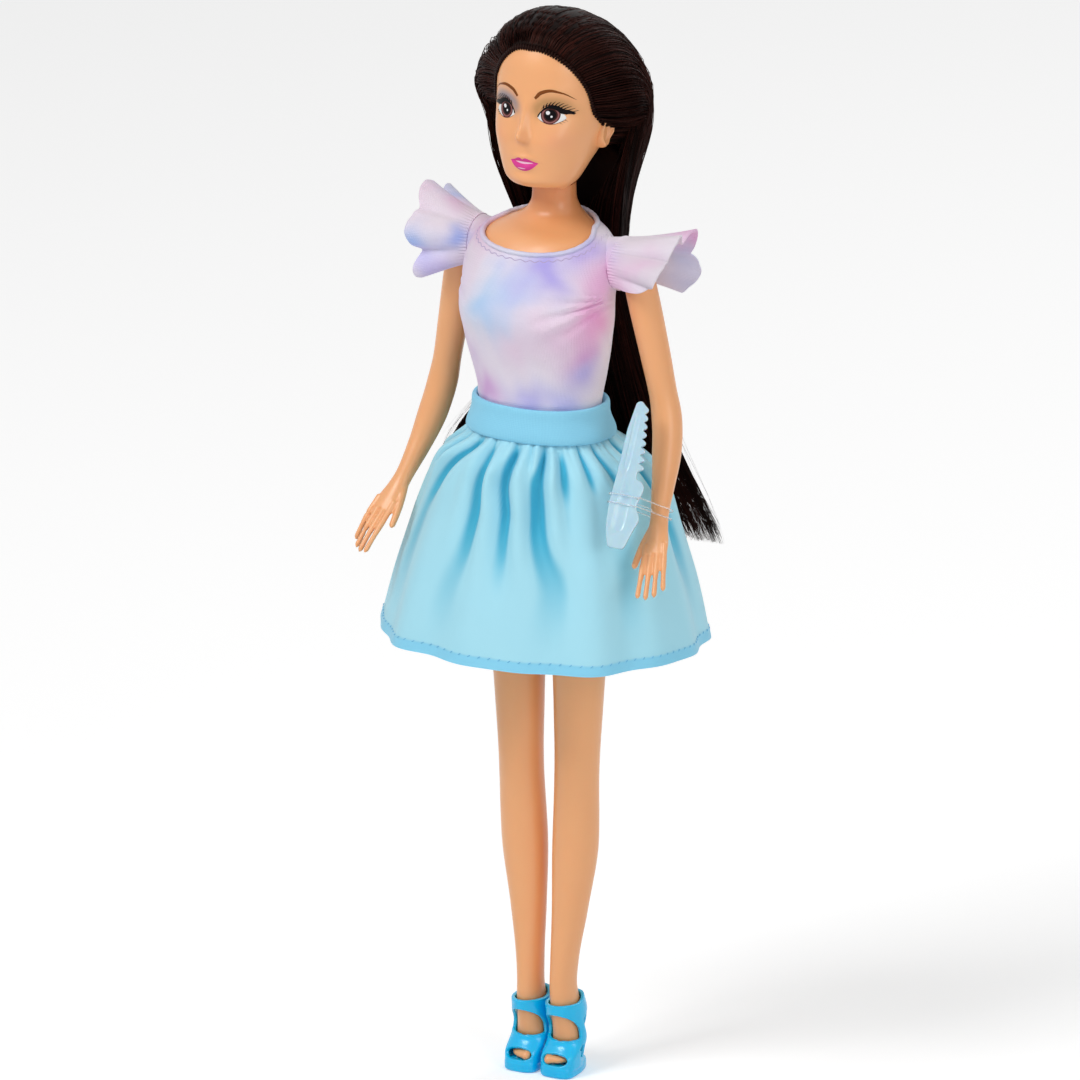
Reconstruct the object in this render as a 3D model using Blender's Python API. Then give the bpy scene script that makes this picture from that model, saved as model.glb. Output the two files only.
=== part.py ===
"""A fashion doll with long hair, a knit top with frilled sleeves, a gathered skirt, sandals and a comb.

Metres, +Z up. The doll faces -Y and stands on z = 0; its left side is +X.
Every length is a named value below. Tables of shares follow the sizes named beside them.
"""

import math

import bmesh
import bpy
import numpy as np
from mathutils import Vector

# Clearances
gap = 0.0003
cloth_gap = 0.0004
cut_overrun = 0.002

# Torso, from the crotch up to the top of the neck
leg_height = 0.148
crotch_drop = 0.009
torso_height = 0.1027
shoulder_half_width = 0.0205
chest_depth = 0.018
joint_axis_y = 0.005
yoke_drop = 0.0147
bust_swell = 0.0012
bust_spacing = 0.0088
bust_reach = 0.0065

# Joint parts
peg_radius = 0.0025
peg_length = 0.0042
axle_radius = 0.0015
axle_length = 0.018
knob_radius = 0.0034
knob_height = 0.0033
knob_shank_radius = 0.002
knob_shank_length = 0.0052
neck_axis_y = 0.007
hip_inner_x = 0.0046
hip_width = 0.0172
hip_radius = 0.012
hip_cut_radius = 0.0155

# Arms
shoulder_ball_radius = 0.005
shoulder_drop = 0.0187
upper_arm_length = 0.0378
forearm_length = 0.0297
hand_length = 0.0238
upper_arm_radius = 0.0041
wrist_inset = 0.0060
elbow_turn = math.radians(0.43)
hand_splay = math.radians(14.5)
upper_arm_lean = math.radians(-3.7)
forearm_lean = math.radians(24.5)
hand_lean = math.radians(44.0)
palm_half_width = 0.0034
palm_half_depth = 0.0016
finger_radius = 0.0008
finger_spacing = 0.00176
thumb_radius = 0.00092

# Legs and feet
thigh_radius = 0.00725
thigh_inset = 0.00205
sole_thickness = 0.0032

# Head
head_half_width = 0.015
head_depth = 0.018
head_height = 0.0455
head_centre_y = 0.008
nose_height = 0.0025
ear_height = 0.0088
ear_width = 0.0046
ear_depth = 0.0054

# Hair
hair_rim = 0.0012
hair_side = 0.0088
hair_top = 0.0030
hair_back = 0.0080
hair_end = 0.0066
hair_clearance = 0.0008
tress_length = 0.1165
tress_half_width = 0.0345

# Clothes
knit_thickness = 0.0006
binding_radius = 0.0006
armhole_radius = 0.0063
neck_front_drop = 0.0165
neck_side_drop = 0.0124
neck_back_drop = 0.0102
band_height = 0.0080
band_thickness = 0.0017
band_top_drop = 0.0561
skirt_length = 0.0578
skirt_half_width = 0.0443
skirt_thickness = 0.0005
fold_depth = 0.0017
fold_count = 16
frill_length = 0.0200
frill_flare = 0.0058
frill_seam_radius = 0.0070
frill_thickness = 0.0004
frill_wave = 0.0021
frill_wave_count = 4
closure_width = 0.005
closure_length = 0.036
closure_thickness = 0.0007
tab_height = 0.0064

# Sandals
strap_thickness = 0.0009
shoe_gap = 0.00045
shoe_height = 0.0198
shoe_half_width = 0.00475
toe_reach = 0.0036
heel_reach = 0.0112

# Comb, tied to the left wrist
comb_length = 0.0392
comb_thickness = 0.0018
comb_half_width = 0.0043
comb_drop = 0.0050
comb_medial = 0.0036
comb_forward = 0.0160
comb_splay = math.radians(3.8)
comb_lean = math.radians(27.4)
comb_twist = math.radians(30)
tooth_depth = 0.0007
tie_radius = 0.00025
tie_spacing = 0.0022

# Sides and steps of the lofts
body_sides = 26
limb_sides = 14
head_sides = 28
finger_sides = 6

# Torso rows: height, half width, front and back, as shares of torso_height,
# shoulder_half_width and chest_depth; front counts toward -Y, back toward +Y.
torso_shares = (
    (0.000, 0.195, 0.111, 0.556),
    (0.039, 0.440, 0.250, 0.722),
    (0.107, 0.900, 0.417, 0.889),
    (0.175, 1.024, 0.517, 0.917),
    (0.253, 0.976, 0.583, 0.833),
    (0.321, 0.868, 0.611, 0.722),
    (0.380, 0.780, 0.611, 0.639),
    (0.419, 0.751, 0.611, 0.611),
    (0.458, 0.776, 0.628, 0.622),
    (0.536, 0.859, 0.700, 0.656),
    (0.623, 0.946, 0.850, 0.683),
    (0.701, 0.985, 0.930, 0.711),
    (0.769, 0.985, 0.815, 0.739),
    (0.818, 0.976, 0.678, 0.767),
    (0.857, 0.927, 0.544, 0.778),
    (0.886, 0.780, 0.378, 0.778),
    (0.910, 0.512, 0.111, 0.767),
    (0.935, 0.341, -0.033, 0.739),
    (0.964, 0.278, -0.072, 0.706),
    (1.000, 0.273, -0.078, 0.700),
)

# Arm rows: place along the arm (1 elbow, 2 wrist, 2.45 knuckles), half width and half depth,
# both as shares of upper_arm_radius.
arm_shares = (
    (0.00, 0.98, 1.02),
    (0.25, 1.03, 1.05),
    (0.60, 0.97, 0.99),
    (0.90, 0.90, 0.93),
    (1.12, 0.97, 0.99),
    (1.35, 0.95, 0.98),
    (1.70, 0.74, 0.74),
    (2.00, 0.60, 0.54),
    (2.16, 0.72, 0.46),
    (2.34, 0.86, 0.42),
    (2.47, 0.84, 0.33),
)

# Leg rows from the hip down to the sole: height as a share of leg_height, then the centre's
# x as a share of thigh_x, half width, front and back as shares of thigh_radius.
leg_shares = (
    (1.000, 1.385, 1.01, 0.90, 2.10),
    (0.946, 1.375, 1.03, 0.72, 1.98),
    (0.878, 1.235, 1.06, 0.55, 1.80),
    (0.790, 1.000, 1.00, 0.42, 1.62),
    (0.680, 0.950, 0.90, 0.30, 1.50),
    (0.560, 0.900, 0.815, 0.21, 1.42),
    (0.432, 0.830, 0.845, 0.17, 1.52),
    (0.300, 0.670, 0.640, 0.10, 1.32),
    (0.205, 0.555, 0.470, 0.17, 1.12),
    (0.165, 0.530, 0.435, 0.21, 1.10),
    (0.140, 0.540, 0.450, 0.20, 1.20),
    (0.115, 0.555, 0.470, 0.13, 1.37),
    (0.085, 0.570, 0.490, -0.02, 1.28),
    (0.060, 0.580, 0.530, -0.18, 1.04),
    (0.038, 0.585, 0.535, -0.30, 0.78),
    (0.0237, 0.585, 0.480, -0.26, 0.62),
)

# Head rows: height, half width, front and back, as shares of head_height,
# head_half_width and head_depth; front and back count from the centre line.
head_shares = (
    (0.000, 0.420, 0.410, 0.300),
    (0.022, 0.500, 0.640, 0.360),
    (0.044, 0.600, 0.810, 0.440),
    (0.088, 0.690, 0.905, 0.580),
    (0.154, 0.790, 0.925, 0.720),
    (0.220, 0.862, 0.955, 0.835),
    (0.308, 0.935, 0.975, 0.930),
    (0.396, 0.982, 0.930, 0.990),
    (0.505, 1.000, 0.885, 1.000),
    (0.615, 1.000, 0.870, 1.000),
    (0.725, 0.978, 0.850, 0.970),
    (0.835, 0.885, 0.750, 0.860),
    (0.923, 0.690, 0.560, 0.670),
    (0.980, 0.380, 0.270, 0.370),
)

# Face forms: sideways place as a share of head_half_width, height as a share of head_height,
# spread sideways and up as shares of head_half_width, and swell as a share of nose_height.
face_shares = (
    (0.00, 0.385, 0.085, 0.085, 1.00),
    (0.00, 0.440, 0.075, 0.150, 0.52),
    (0.00, 0.222, 0.170, 0.070, 0.32),
    (0.00, 0.100, 0.210, 0.130, 0.32),
    (0.42, 0.500, 0.190, 0.130, -0.40),
    (-0.42, 0.500, 0.190, 0.130, -0.40),
)

# Heights of the extra rows that carry the face forms, as shares of head_height.
face_row_shares = (0.190, 0.255, 0.340, 0.370, 0.430, 0.470)

# Hairline, by turns round the back of the head from the nape (-90 degrees) to the top
# (90 degrees): the angle it reaches from straight back, in degrees.
hairline_share = (
    (-90, 60), (-60, 68), (-45, 76), (-33, 84), (-22, 100),
    (-10, 115), (10, 124), (35, 128), (60, 131), (90, 134),
)

# Tress rows from the nape down: height as a share of tress_length, half width and half
# thickness as shares of tress_half_width, backward and sideways place as the same shares.
tress_shares = (
    (0.000, 0.440, 0.190, 0.520, 0.000),
    (0.110, 0.490, 0.215, 0.610, -0.020),
    (0.200, 0.450, 0.170, 0.635, -0.040),
    (0.330, 0.480, 0.150, 0.640, -0.020),
    (0.500, 0.600, 0.140, 0.630, 0.020),
    (0.640, 0.740, 0.125, 0.680, 0.060),
    (0.760, 0.900, 0.115, 0.845, 0.060),
    (0.880, 1.000, 0.100, 0.985, 0.100),
    (0.960, 0.900, 0.080, 1.025, 0.250),
    (1.000, 0.720, 0.040, 1.030, 0.380),
)

# Skirt rows: place down the skirt, half width as a share of skirt_half_width, depth as a
# share of the half width there, and fold depth as a share of fold_depth.
skirt_shares = (
    (0.000, 0.435, 0.760, 0.45),
    (0.060, 0.510, 0.780, 0.80),
    (0.150, 0.620, 0.800, 1.00),
    (0.290, 0.722, 0.800, 1.00),
    (0.470, 0.815, 0.800, 0.85),
    (0.720, 0.914, 0.805, 0.70),
    (1.000, 1.000, 0.810, 0.60),
)

# Comb outline, from its bottom corner up the handle, the back, the tip and down the
# teeth: across as shares of comb_half_width, up as shares of comb_length.
comb_handle_shares = (
    (-0.62, 0.010), (-0.50, 0.000), (0.30, 0.000), (0.42, 0.012), (1.02, 0.215),
    (0.95, 0.262), (0.72, 0.300), (0.98, 0.420), (0.94, 0.450), (0.42, 0.480),
)
comb_back_shares = (
    (0.02, 1.000), (-0.34, 0.985), (-0.62, 0.800), (-0.78, 0.500),
    (-0.95, 0.300), (-0.92, 0.150),
)
comb_teeth_shares = (0.42, 0.62, 0.530, 0.975)
tooth_count = 6

# Derived places
thigh_x = thigh_radius + thigh_inset
crotch_z = leg_height - crotch_drop
neck_top_z = crotch_z + torso_height
shoulder_z = neck_top_z - shoulder_drop
shoulder_x = shoulder_half_width + gap + shoulder_ball_radius
wrist_x = skirt_half_width - wrist_inset
arm_splay = math.asin((wrist_x - shoulder_x) / (upper_arm_length + forearm_length))
upper_arm_splay = arm_splay + elbow_turn
forearm_splay = arm_splay - elbow_turn
head_base_z = neck_top_z + gap
head_middle_z = head_base_z + head_height * 0.53
band_top_z = neck_top_z - band_top_drop
skirt_top_z = band_top_z - band_height - gap


def material(name, colour, roughness):
    """A plain surface of one colour."""
    made = bpy.data.materials.new(name)
    made.use_nodes = True
    surface = made.node_tree.nodes["Principled BSDF"]
    surface.inputs["Base Color"].default_value = (*colour, 1)
    surface.inputs["Roughness"].default_value = roughness
    surface.inputs["Metallic"].default_value = 0
    return made


def smooth_row(table, place):
    """The table's row at a place in its first column, on a smooth curve through its rows."""
    rows = np.array(table, float)
    order = np.argsort(rows[:, 0])
    rows = rows[order]
    places, values = rows[:, 0], rows[:, 1:]
    place = min(max(place, places[0]), places[-1])
    index = min(int(np.searchsorted(places, place, side="right")) - 1, len(places) - 2)
    index = max(index, 0)
    steps = np.diff(places)
    slopes = np.diff(values, axis=0) / steps[:, None]
    tangents = np.zeros_like(values)
    tangents[0], tangents[-1] = slopes[0], slopes[-1]
    for row in range(1, len(places) - 1):
        low, high = slopes[row - 1], slopes[row]
        same_way = low * high > 0
        mean = 2 * low * high / np.where(same_way, low + high, 1)
        tangents[row] = np.where(same_way, mean, 0)
    step = steps[index]
    share = (place - places[index]) / step
    start, end = values[index], values[index + 1]
    square, cube = share * share, share * share * share
    return (
        (2 * cube - 3 * square + 1) * start
        + (cube - 2 * square + share) * step * tangents[index]
        + (3 * square - 2 * cube) * end
        + (cube - square) * step * tangents[index + 1]
    )


def mesh_object(name, vertices, faces, parent, colour_of, origin):
    """A named object on its parent, with its own origin; vertices are in world places."""
    mesh = bpy.data.meshes.new(name)
    made = bmesh.new()
    corners = [made.verts.new(Vector(place) - Vector(origin)) for place in vertices]
    for face in faces:
        made.faces.new([corners[index] for index in face])
    bmesh.ops.recalc_face_normals(made, faces=made.faces)
    made.to_mesh(mesh)
    made.free()
    mesh.shade_smooth()
    mesh.set_sharp_from_angle(angle=math.radians(40))
    return place_object(bpy.data.objects.new(name, mesh), parent, colour_of, origin)


def place_object(made, parent, colour_of, origin):
    """Links an object, hangs it on its parent and gives it a material."""
    bpy.context.collection.objects.link(made)
    home = Vector(parent.get("home", (0, 0, 0))) if parent else Vector((0, 0, 0))
    made.parent = parent
    made.location = Vector(origin) - home
    if colour_of:
        made.data.materials.append(colour_of)
    return made


def joint_empty(name, place):
    """An empty on a joint's axis, which the moving pieces hang on."""
    empty = bpy.data.objects.new(name, None)
    bpy.context.collection.objects.link(empty)
    empty["home"] = tuple(place)
    empty.location = place
    return empty


def skin(rings):
    """Vertices and faces of a closed body through rings; a ring of one point is a tip."""
    vertices, faces, starts = [], [], []
    for ring in rings:
        starts.append(len(vertices))
        vertices.extend(ring)
    for low, high in zip(range(len(rings)), range(1, len(rings))):
        lower, upper = len(rings[low]), len(rings[high])
        count = max(lower, upper)
        for side in range(count):
            after = (side + 1) % count
            a, b = starts[low] + side, starts[low] + after
            c, d = starts[high] + after, starts[high] + side
            if lower == 1:
                faces.append((starts[low], c, d))
            elif upper == 1:
                faces.append((a, b, starts[high]))
            else:
                faces.append((a, b, c, d))
    for end in (0, len(rings) - 1):
        if len(rings[end]) > 1:
            faces.append(tuple(starts[end] + side for side in range(len(rings[end]))))
    return vertices, faces


def wall(outer, inner, closed_round=True):
    """Vertices and faces of a thin wall between two grids of rows of points."""
    outer, inner = np.array(outer), np.array(inner)
    rows, columns = outer.shape[:2]
    vertices = [tuple(p) for p in outer.reshape(-1, 3)] + [tuple(p) for p in inner.reshape(-1, 3)]
    back = rows * columns
    faces = []
    spans = columns if closed_round else columns - 1
    for row in range(rows - 1):
        for column in range(spans):
            after = (column + 1) % columns
            a, b = row * columns + column, row * columns + after
            c, d = a + columns, b + columns
            faces.append((a, b, d, c))
            faces.append((back + a, back + c, back + d, back + b))
    for row in (0, rows - 1):
        for column in range(spans):
            a = row * columns + column
            b = row * columns + (column + 1) % columns
            faces.append((a, b, back + b, back + a))
    if not closed_round:
        for row in range(rows - 1):
            for column in (0, columns - 1):
                a, b = row * columns + column, (row + 1) * columns + column
                faces.append((a, b, back + b, back + a))
    return vertices, faces


def offset_grid(grid, distance, closed_round=True):
    """The grid moved by a distance along its own normals, away from its middle line."""
    points = np.array(grid, float)
    if closed_round:
        across = np.roll(points, -1, axis=1) - np.roll(points, 1, axis=1)
    else:
        across = np.gradient(points, axis=1)
    along = np.gradient(points, axis=0)
    normals = np.cross(across, along)
    normals /= np.maximum(np.linalg.norm(normals, axis=2, keepdims=True), 1e-12)
    outward = points - points.mean(axis=1, keepdims=True)
    sign = np.sign((normals * outward).sum(axis=(1, 2)).mean())
    return points + normals * sign * distance


def turned(profile, centre, axis, side, sides):
    """Rings of a turned shape: the profile gives places along the axis and radii."""
    axis, side = Vector(axis).normalized(), Vector(side).normalized()
    other = axis.cross(side)
    rings = []
    for along, radius in profile:
        middle = Vector(centre) + axis * along
        if radius == 0:
            rings.append([tuple(middle)])
            continue
        rings.append([
            tuple(middle + side * radius * math.cos(turn) + other * radius * math.sin(turn))
            for turn in np.linspace(0, 2 * math.pi, sides, endpoint=False)
        ])
    return rings


def cutter(name, rings, parent):
    """A closed body that only cuts or joins other pieces."""
    vertices, faces = skin(rings)
    home = tuple(parent.get("home", (0, 0, 0))) if parent else (0, 0, 0)
    made = mesh_object(name, vertices, faces, parent, None, home)
    made.hide_render = True
    made.display_type = "WIRE"
    return made


def boolean(target, other, operation):
    """Adds a Boolean of another body to a piece."""
    step = target.modifiers.new(other.name, "BOOLEAN")
    step.operation = operation
    step.solver = "EXACT"
    step.object = other


def box_rings(low, high):
    """Two square rings, the ends of a box."""
    corners = ((low[0], low[1]), (high[0], low[1]), (high[0], high[1]), (low[0], high[1]))
    return [[(x, y, z) for x, y in corners] for z in (low[2], high[2])]


def flat_rings(outline, low, high, place):
    """Two rings of one outline, at two depths; place turns (across, up, depth) to a point."""
    return [[place(across, up, depth) for across, up in outline] for depth in (low, high)]


def torso_ring(height, sides=body_sides, offset=0.0):
    """A level section of the torso at a world height; the bust swells its front."""
    share = (height - crotch_z) / torso_height
    width, front, back = smooth_row(torso_shares, share)
    half_width = width * shoulder_half_width + offset
    front_y, back_y = -front * chest_depth - offset, back * chest_depth + offset
    middle, half_depth = (front_y + back_y) / 2, (back_y - front_y) / 2
    bust_z = crotch_z + torso_height * 0.695
    ring = []
    for turn in np.linspace(0, 2 * math.pi, sides, endpoint=False):
        side, ahead = math.sin(turn), -math.cos(turn)
        x = half_width * math.copysign(abs(side) ** 0.92, side)
        y = middle + half_depth * math.copysign(abs(ahead) ** 0.92, ahead)
        if ahead < 0:
            for place in (bust_spacing, -bust_spacing):
                far = ((x - place) ** 2 + (height - bust_z) ** 2) / bust_reach ** 2
                y += bust_swell * math.exp(-far) * ahead
        ring.append((x, y, height))
    return ring


def torso_rings(low, high, count, offset=0.0):
    """Sections at the torso's own rows between two heights."""
    rows = [crotch_z + share[0] * torso_height for share in torso_shares]
    inside = [z for z in rows if low + gap < z < high - gap]
    heights = [low, *inside, high] if count is None else list(np.linspace(low, high, count))
    return [torso_ring(height, offset=offset) for height in heights]


def hip_rings(clearance):
    """The turned top of a leg, or with a clearance the room it turns in."""
    radius = hip_cut_radius if clearance else hip_radius
    if clearance:
        end = hip_width + cut_overrun * 2
        return [(0, 0), (0, hip_radius), (hip_width * 0.35, radius), (end, radius), (end, 0)]
    return [
        (0, 0), (0, radius * 0.86), (hip_width * 0.30, radius * 0.97), (hip_width * 0.65, radius),
        (hip_width * 0.86, radius * 0.84), (hip_width * 0.97, radius * 0.5), (hip_width, 0),
    ]


def make_torso(skin_colour):
    """The front and back mouldings, which meet in the plane of the joint axes."""
    rings = torso_rings(crotch_z, neck_top_z, None)
    yoke_z = neck_top_z - yoke_drop
    wide = shoulder_half_width + cut_overrun
    far = chest_depth + cut_overrun
    low = crotch_z - cut_overrun
    back_room = cutter(
        "torso_back_room",
        box_rings((-wide, joint_axis_y - gap / 2, low), (wide, far, yoke_z + gap / 2)),
        None,
    )
    back_keep = cutter(
        "torso_back_keep",
        box_rings((-wide, joint_axis_y + gap / 2, low), (wide, far, yoke_z - gap / 2)),
        None,
    )
    cuts = [
        cutter("axle_bore", turned(
            ((-wide, axle_radius + gap), (wide, axle_radius + gap)),
            (0, joint_axis_y, leg_height), (1, 0, 0), (0, 1, 0), 12), None),
    ]
    for name, side in (("right", -1), ("left", 1)):
        start = (side * hip_inner_x, joint_axis_y, leg_height)
        cuts.append(cutter(
            name + "_hip_room", turned(hip_rings(gap), start, (side, 0, 0), (0, 1, 0), 32), None))
        inner = shoulder_half_width - peg_length - gap
        bore = ((inner, peg_radius + gap), (shoulder_half_width + cut_overrun, peg_radius + gap))
        cuts.append(cutter(
            name + "_peg_bore",
            turned(bore, (0, joint_axis_y, shoulder_z), (side, 0, 0), (0, 1, 0), 16), None))
    pieces = []
    for name, shape, operation in (
        ("torso_front", back_room, "DIFFERENCE"),
        ("torso_back", back_keep, "INTERSECT"),
    ):
        vertices, faces = skin(rings)
        piece = mesh_object(name, vertices, faces, None, skin_colour, (0, 0, leg_height))
        boolean(piece, shape, operation)
        for cut in cuts:
            boolean(piece, cut, "DIFFERENCE")
        pieces.append(piece)
    shank = cutter("neck_bore", turned(
        ((-knob_shank_length, knob_shank_radius + gap), (cut_overrun, knob_shank_radius + gap)),
        (0, neck_axis_y, neck_top_z), (0, 0, 1), (1, 0, 0), 16), None)
    boolean(pieces[0], shank, "DIFFERENCE")


def knob_profile(clearance):
    """The neck knob from its shank up, or with a clearance its socket in the head."""
    base = gap + knob_height * 0.3
    top = base + knob_height + clearance
    start = -cut_overrun if clearance else -knob_shank_length + gap
    return (
        (start, knob_shank_radius + clearance),
        (base - clearance, knob_shank_radius + clearance),
        (base - clearance, knob_radius + clearance),
        (base + knob_height * 0.55, knob_radius + clearance),
        (top, knob_radius * 0.72 + clearance),
    )


def make_joint_parts(plain):
    """The pin through the hips and the knob that the head turns on."""
    axle = turned(
        ((-axle_length / 2, axle_radius), (axle_length / 2, axle_radius)),
        (0, joint_axis_y, leg_height), (1, 0, 0), (0, 1, 0), 12)
    mesh_object("hip_axle", *skin(axle), None, plain, (0, joint_axis_y, leg_height))
    knob = turned(knob_profile(0), (0, neck_axis_y, neck_top_z), (0, 0, 1), (1, 0, 0), 16)
    mesh_object("neck_knob", *skin(knob), None, plain, (0, neck_axis_y, neck_top_z))


def head_section(height):
    """Half width, front and back of the head at a world height."""
    share = (height - head_base_z) / head_height
    width, front, back = smooth_row(head_shares, share)
    return width * head_half_width, front * head_depth, back * head_depth


def head_point(height, turn, swell):
    """A point of the head's skin; turn 0 looks ahead, and the face has its forms."""
    half_width, front, back = head_section(height)
    side, ahead = math.sin(turn), math.cos(turn)
    x = half_width * math.copysign(abs(side) ** 0.95, side)
    depth = front if ahead > 0 else back
    y = head_centre_y - depth * math.copysign(abs(ahead) ** 0.95, ahead)
    if swell and ahead > 0:
        for across, up, wide, tall, amount in face_shares:
            far = ((x / head_half_width - across) / wide) ** 2
            far += ((height - head_base_z - up * head_height) / (tall * head_half_width)) ** 2
            y -= amount * nose_height * math.exp(-far)
    return (x, y, height)


def make_head(skin_colour, neck):
    """The head with its face, ears and the socket for the neck knob."""
    heights = [head_base_z + share[0] * head_height for share in head_shares]
    heights += [head_base_z + share * head_height for share in face_row_shares]
    heights.sort()
    turns = [t - 0.5 * math.sin(t) for t in np.linspace(0, 2 * math.pi, head_sides, endpoint=False)]
    rings = [[head_point(height, turn, True) for turn in turns] for height in heights]
    rings.append([(0, head_centre_y, head_base_z + head_height)])
    home = (0, neck_axis_y, neck_top_z)
    head = mesh_object("head", *skin(rings), neck, skin_colour, home)
    socket = cutter("neck_socket", turned(
        knob_profile(gap), (0, neck_axis_y, neck_top_z), (0, 0, 1), (1, 0, 0), 16), neck)
    boolean(head, socket, "DIFFERENCE")
    for name, side in (("right", -1), ("left", 1)):
        boolean(head, cutter(name + "_ear", ear_rings(side, 0), neck), "UNION")


def ear_rings(side, extra):
    """Rings of an ear, or with an extra size the room that the hair leaves round it."""
    middle = (side * head_half_width * 0.96, head_centre_y, head_base_z + head_height * 0.34)
    tall, wide, deep = ear_height / 2 + extra, ear_width / 2 + extra, ear_depth / 2 + extra
    rings = []
    for along in np.linspace(-1, 1, 7):
        size = math.sqrt(max(1 - along * along, 0))
        height, back = middle[2] + along * tall, middle[1] + deep * 0.2 * along
        if size == 0:
            rings.append([(middle[0], back, height)])
            continue
        rings.append([
            (middle[0] + size * wide * math.cos(turn), back + size * deep * math.sin(turn), height)
            for turn in np.linspace(0, 2 * math.pi, 10, endpoint=False)
        ])
    return rings


def head_radius(direction):
    """How far the head's skin lies from its middle in a direction, found by halving."""
    low, high = 0.0, head_height
    centre = Vector((0, head_centre_y, head_middle_z))
    while high - low > gap / 100:
        middle = (low + high) / 2
        point = centre + direction * middle
        if not head_base_z < point.z < head_base_z + head_height:
            high = middle
            continue
        half_width, front, back = head_section(point.z)
        depth = front if point.y < head_centre_y else back
        power = 2 / 0.95
        inside = abs(point.x / half_width) ** power + abs((point.y - head_centre_y) / depth) ** power
        low, high = (middle, high) if inside < 1 else (low, middle)
    return low


def hair_direction(round_turn, reach):
    """A direction from the head's middle: reach is the angle from straight back."""
    return Vector((
        math.sin(reach) * math.cos(round_turn), math.cos(reach), math.sin(reach) * math.sin(round_turn),
    ))


def hair_grid(extra, columns=30, rows=9):
    """Inner and outer points of the rooted hair, from the hairline to the back of the head."""
    centre = Vector((0, head_centre_y, head_middle_z))
    inner, outer = [], []
    for row in range(rows):
        share = 1 - row / rows
        inner_row, outer_row = [], []
        for turn in np.linspace(0, 2 * math.pi, columns, endpoint=False) - math.pi / 2:
            folded = math.degrees(math.asin(max(-1.0, min(1.0, math.sin(turn)))))
            edge = math.radians(float(smooth_row(hairline_share, folded)[0]))
            edge += extra / head_half_width * 2
            direction = hair_direction(turn, edge * share)
            up = max(math.sin(turn), 0) * math.sin(edge * share)
            down = max(-math.sin(turn), 0)
            full = hair_side + (hair_back - hair_side) * (1 - share)
            full += (hair_top - full) * up ** 1.5
            root = hair_rim + (hair_end - hair_rim) * min(max((down - 0.45) / 0.3, 0), 1)
            blend = min((1 - share) * 2.4, 1)
            blend = blend * blend * (3 - 2 * blend)
            thickness = root + (full - root) * blend
            radius = head_radius(direction) + hair_clearance
            inner_row.append(tuple(centre + direction * radius))
            outer_row.append(tuple(centre + direction * (radius + thickness + extra)))
        inner.append(inner_row)
        outer.append(outer_row)
    pole = Vector((0, 1, 0))
    radius = head_radius(pole) + hair_clearance
    return inner, outer, centre + pole * radius, centre + pole * (radius + hair_back + extra)


def make_hair(hair_colour, neck):
    """The hair rooted on the head and the long hair that hangs from it down the back."""
    inner, outer, inner_pole, outer_pole = hair_grid(0)
    rings = [[tuple(inner_pole)]] + inner[::-1] + outer + [[tuple(outer_pole)]]
    home = (0, neck_axis_y, neck_top_z)
    cap = mesh_object("hair_cap", *skin(rings), neck, hair_colour, home)
    for name, side in (("right", -1), ("left", 1)):
        boolean(cap, cutter(name + "_ear_room", ear_rings(side, gap * 2), neck), "DIFFERENCE")
    # The room that the cap and the head take, cut from the top of the long hair.
    _, outer, _, outer_pole = hair_grid(cloth_gap)
    centre = (0, head_centre_y, head_middle_z)
    room = cutter("hair_room", [[centre]] + outer + [[tuple(outer_pole)]], neck)
    heights = np.linspace(head_base_z, head_base_z + head_height * 0.6, 8)
    nape = [[head_point(z, turn, False) for turn in np.linspace(0, 2 * math.pi, 24, endpoint=False)]
            for z in heights]
    nape = [[tuple(p) for p in ring] for ring in offset_grid(nape, hair_clearance)]
    nape.insert(0, [(x, y, head_base_z - cut_overrun) for x, y, _ in nape[0]])
    nape_room = cutter("nape_room", nape, neck)
    top = head_base_z + head_height * 0.33
    rings = []
    for place in np.linspace(0, 1, 15):
        width, thickness, backward, sideways = smooth_row(tress_shares, place) * tress_half_width
        height = top - place * tress_length
        ring = []
        for turn in np.linspace(0, 2 * math.pi, 20, endpoint=False):
            side, ahead = math.cos(turn), math.sin(turn)
            wrap = width * 0.10 * side * side * (1 - place)
            x = sideways + width * math.copysign(abs(side) ** 0.8, side)
            ring.append((x, backward + thickness * ahead - wrap, height))
        rings.append(ring)
    tress = mesh_object("hair_length", *skin(rings), neck, hair_colour, home)
    boolean(tress, room, "DIFFERENCE")
    boolean(tress, nape_room, "DIFFERENCE")


def arm_direction(side, splay, lean):
    """A unit direction down an arm that is splayed outward and leans forward."""
    return Vector((
        side * math.sin(splay),
        -math.sin(lean) * math.cos(splay),
        -math.cos(lean) * math.cos(splay),
    ))


def arm_path(side):
    """Shoulder, elbow, wrist and fingertip places of an arm."""
    shoulder = Vector((side * shoulder_x, joint_axis_y, shoulder_z))
    elbow = shoulder + arm_direction(side, upper_arm_splay, upper_arm_lean) * upper_arm_length
    wrist = elbow + arm_direction(side, forearm_splay, forearm_lean) * forearm_length
    tip = wrist + arm_direction(side, hand_splay, hand_lean) * hand_length
    return [shoulder, elbow, wrist, tip]


def path_point(points, place):
    """A point and direction on the rounded path through an arm's places."""
    rows = [(index, *point) for index, point in enumerate(points)]
    here = Vector(smooth_row(rows, place))
    step = 0.08
    before = Vector(smooth_row(rows, max(place - step, 0)))
    after = Vector(smooth_row(rows, min(place + step, len(points) - 1)))
    return here, (after - before).normalized()


def tube_rings(points, radii, across, sides):
    """Rings of a finger along its points."""
    rings = []
    for index, point in enumerate(points):
        ahead = points[min(index + 1, len(points) - 1)] - points[max(index - 1, 0)]
        ahead.normalize()
        wide = (across - ahead * across.dot(ahead)).normalized()
        deep = ahead.cross(wide)
        rings.append([
            tuple(point + wide * radii[index] * math.cos(t) + deep * radii[index] * math.sin(t))
            for t in np.linspace(0, 2 * math.pi, sides, endpoint=False)
        ])
    return rings


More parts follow.
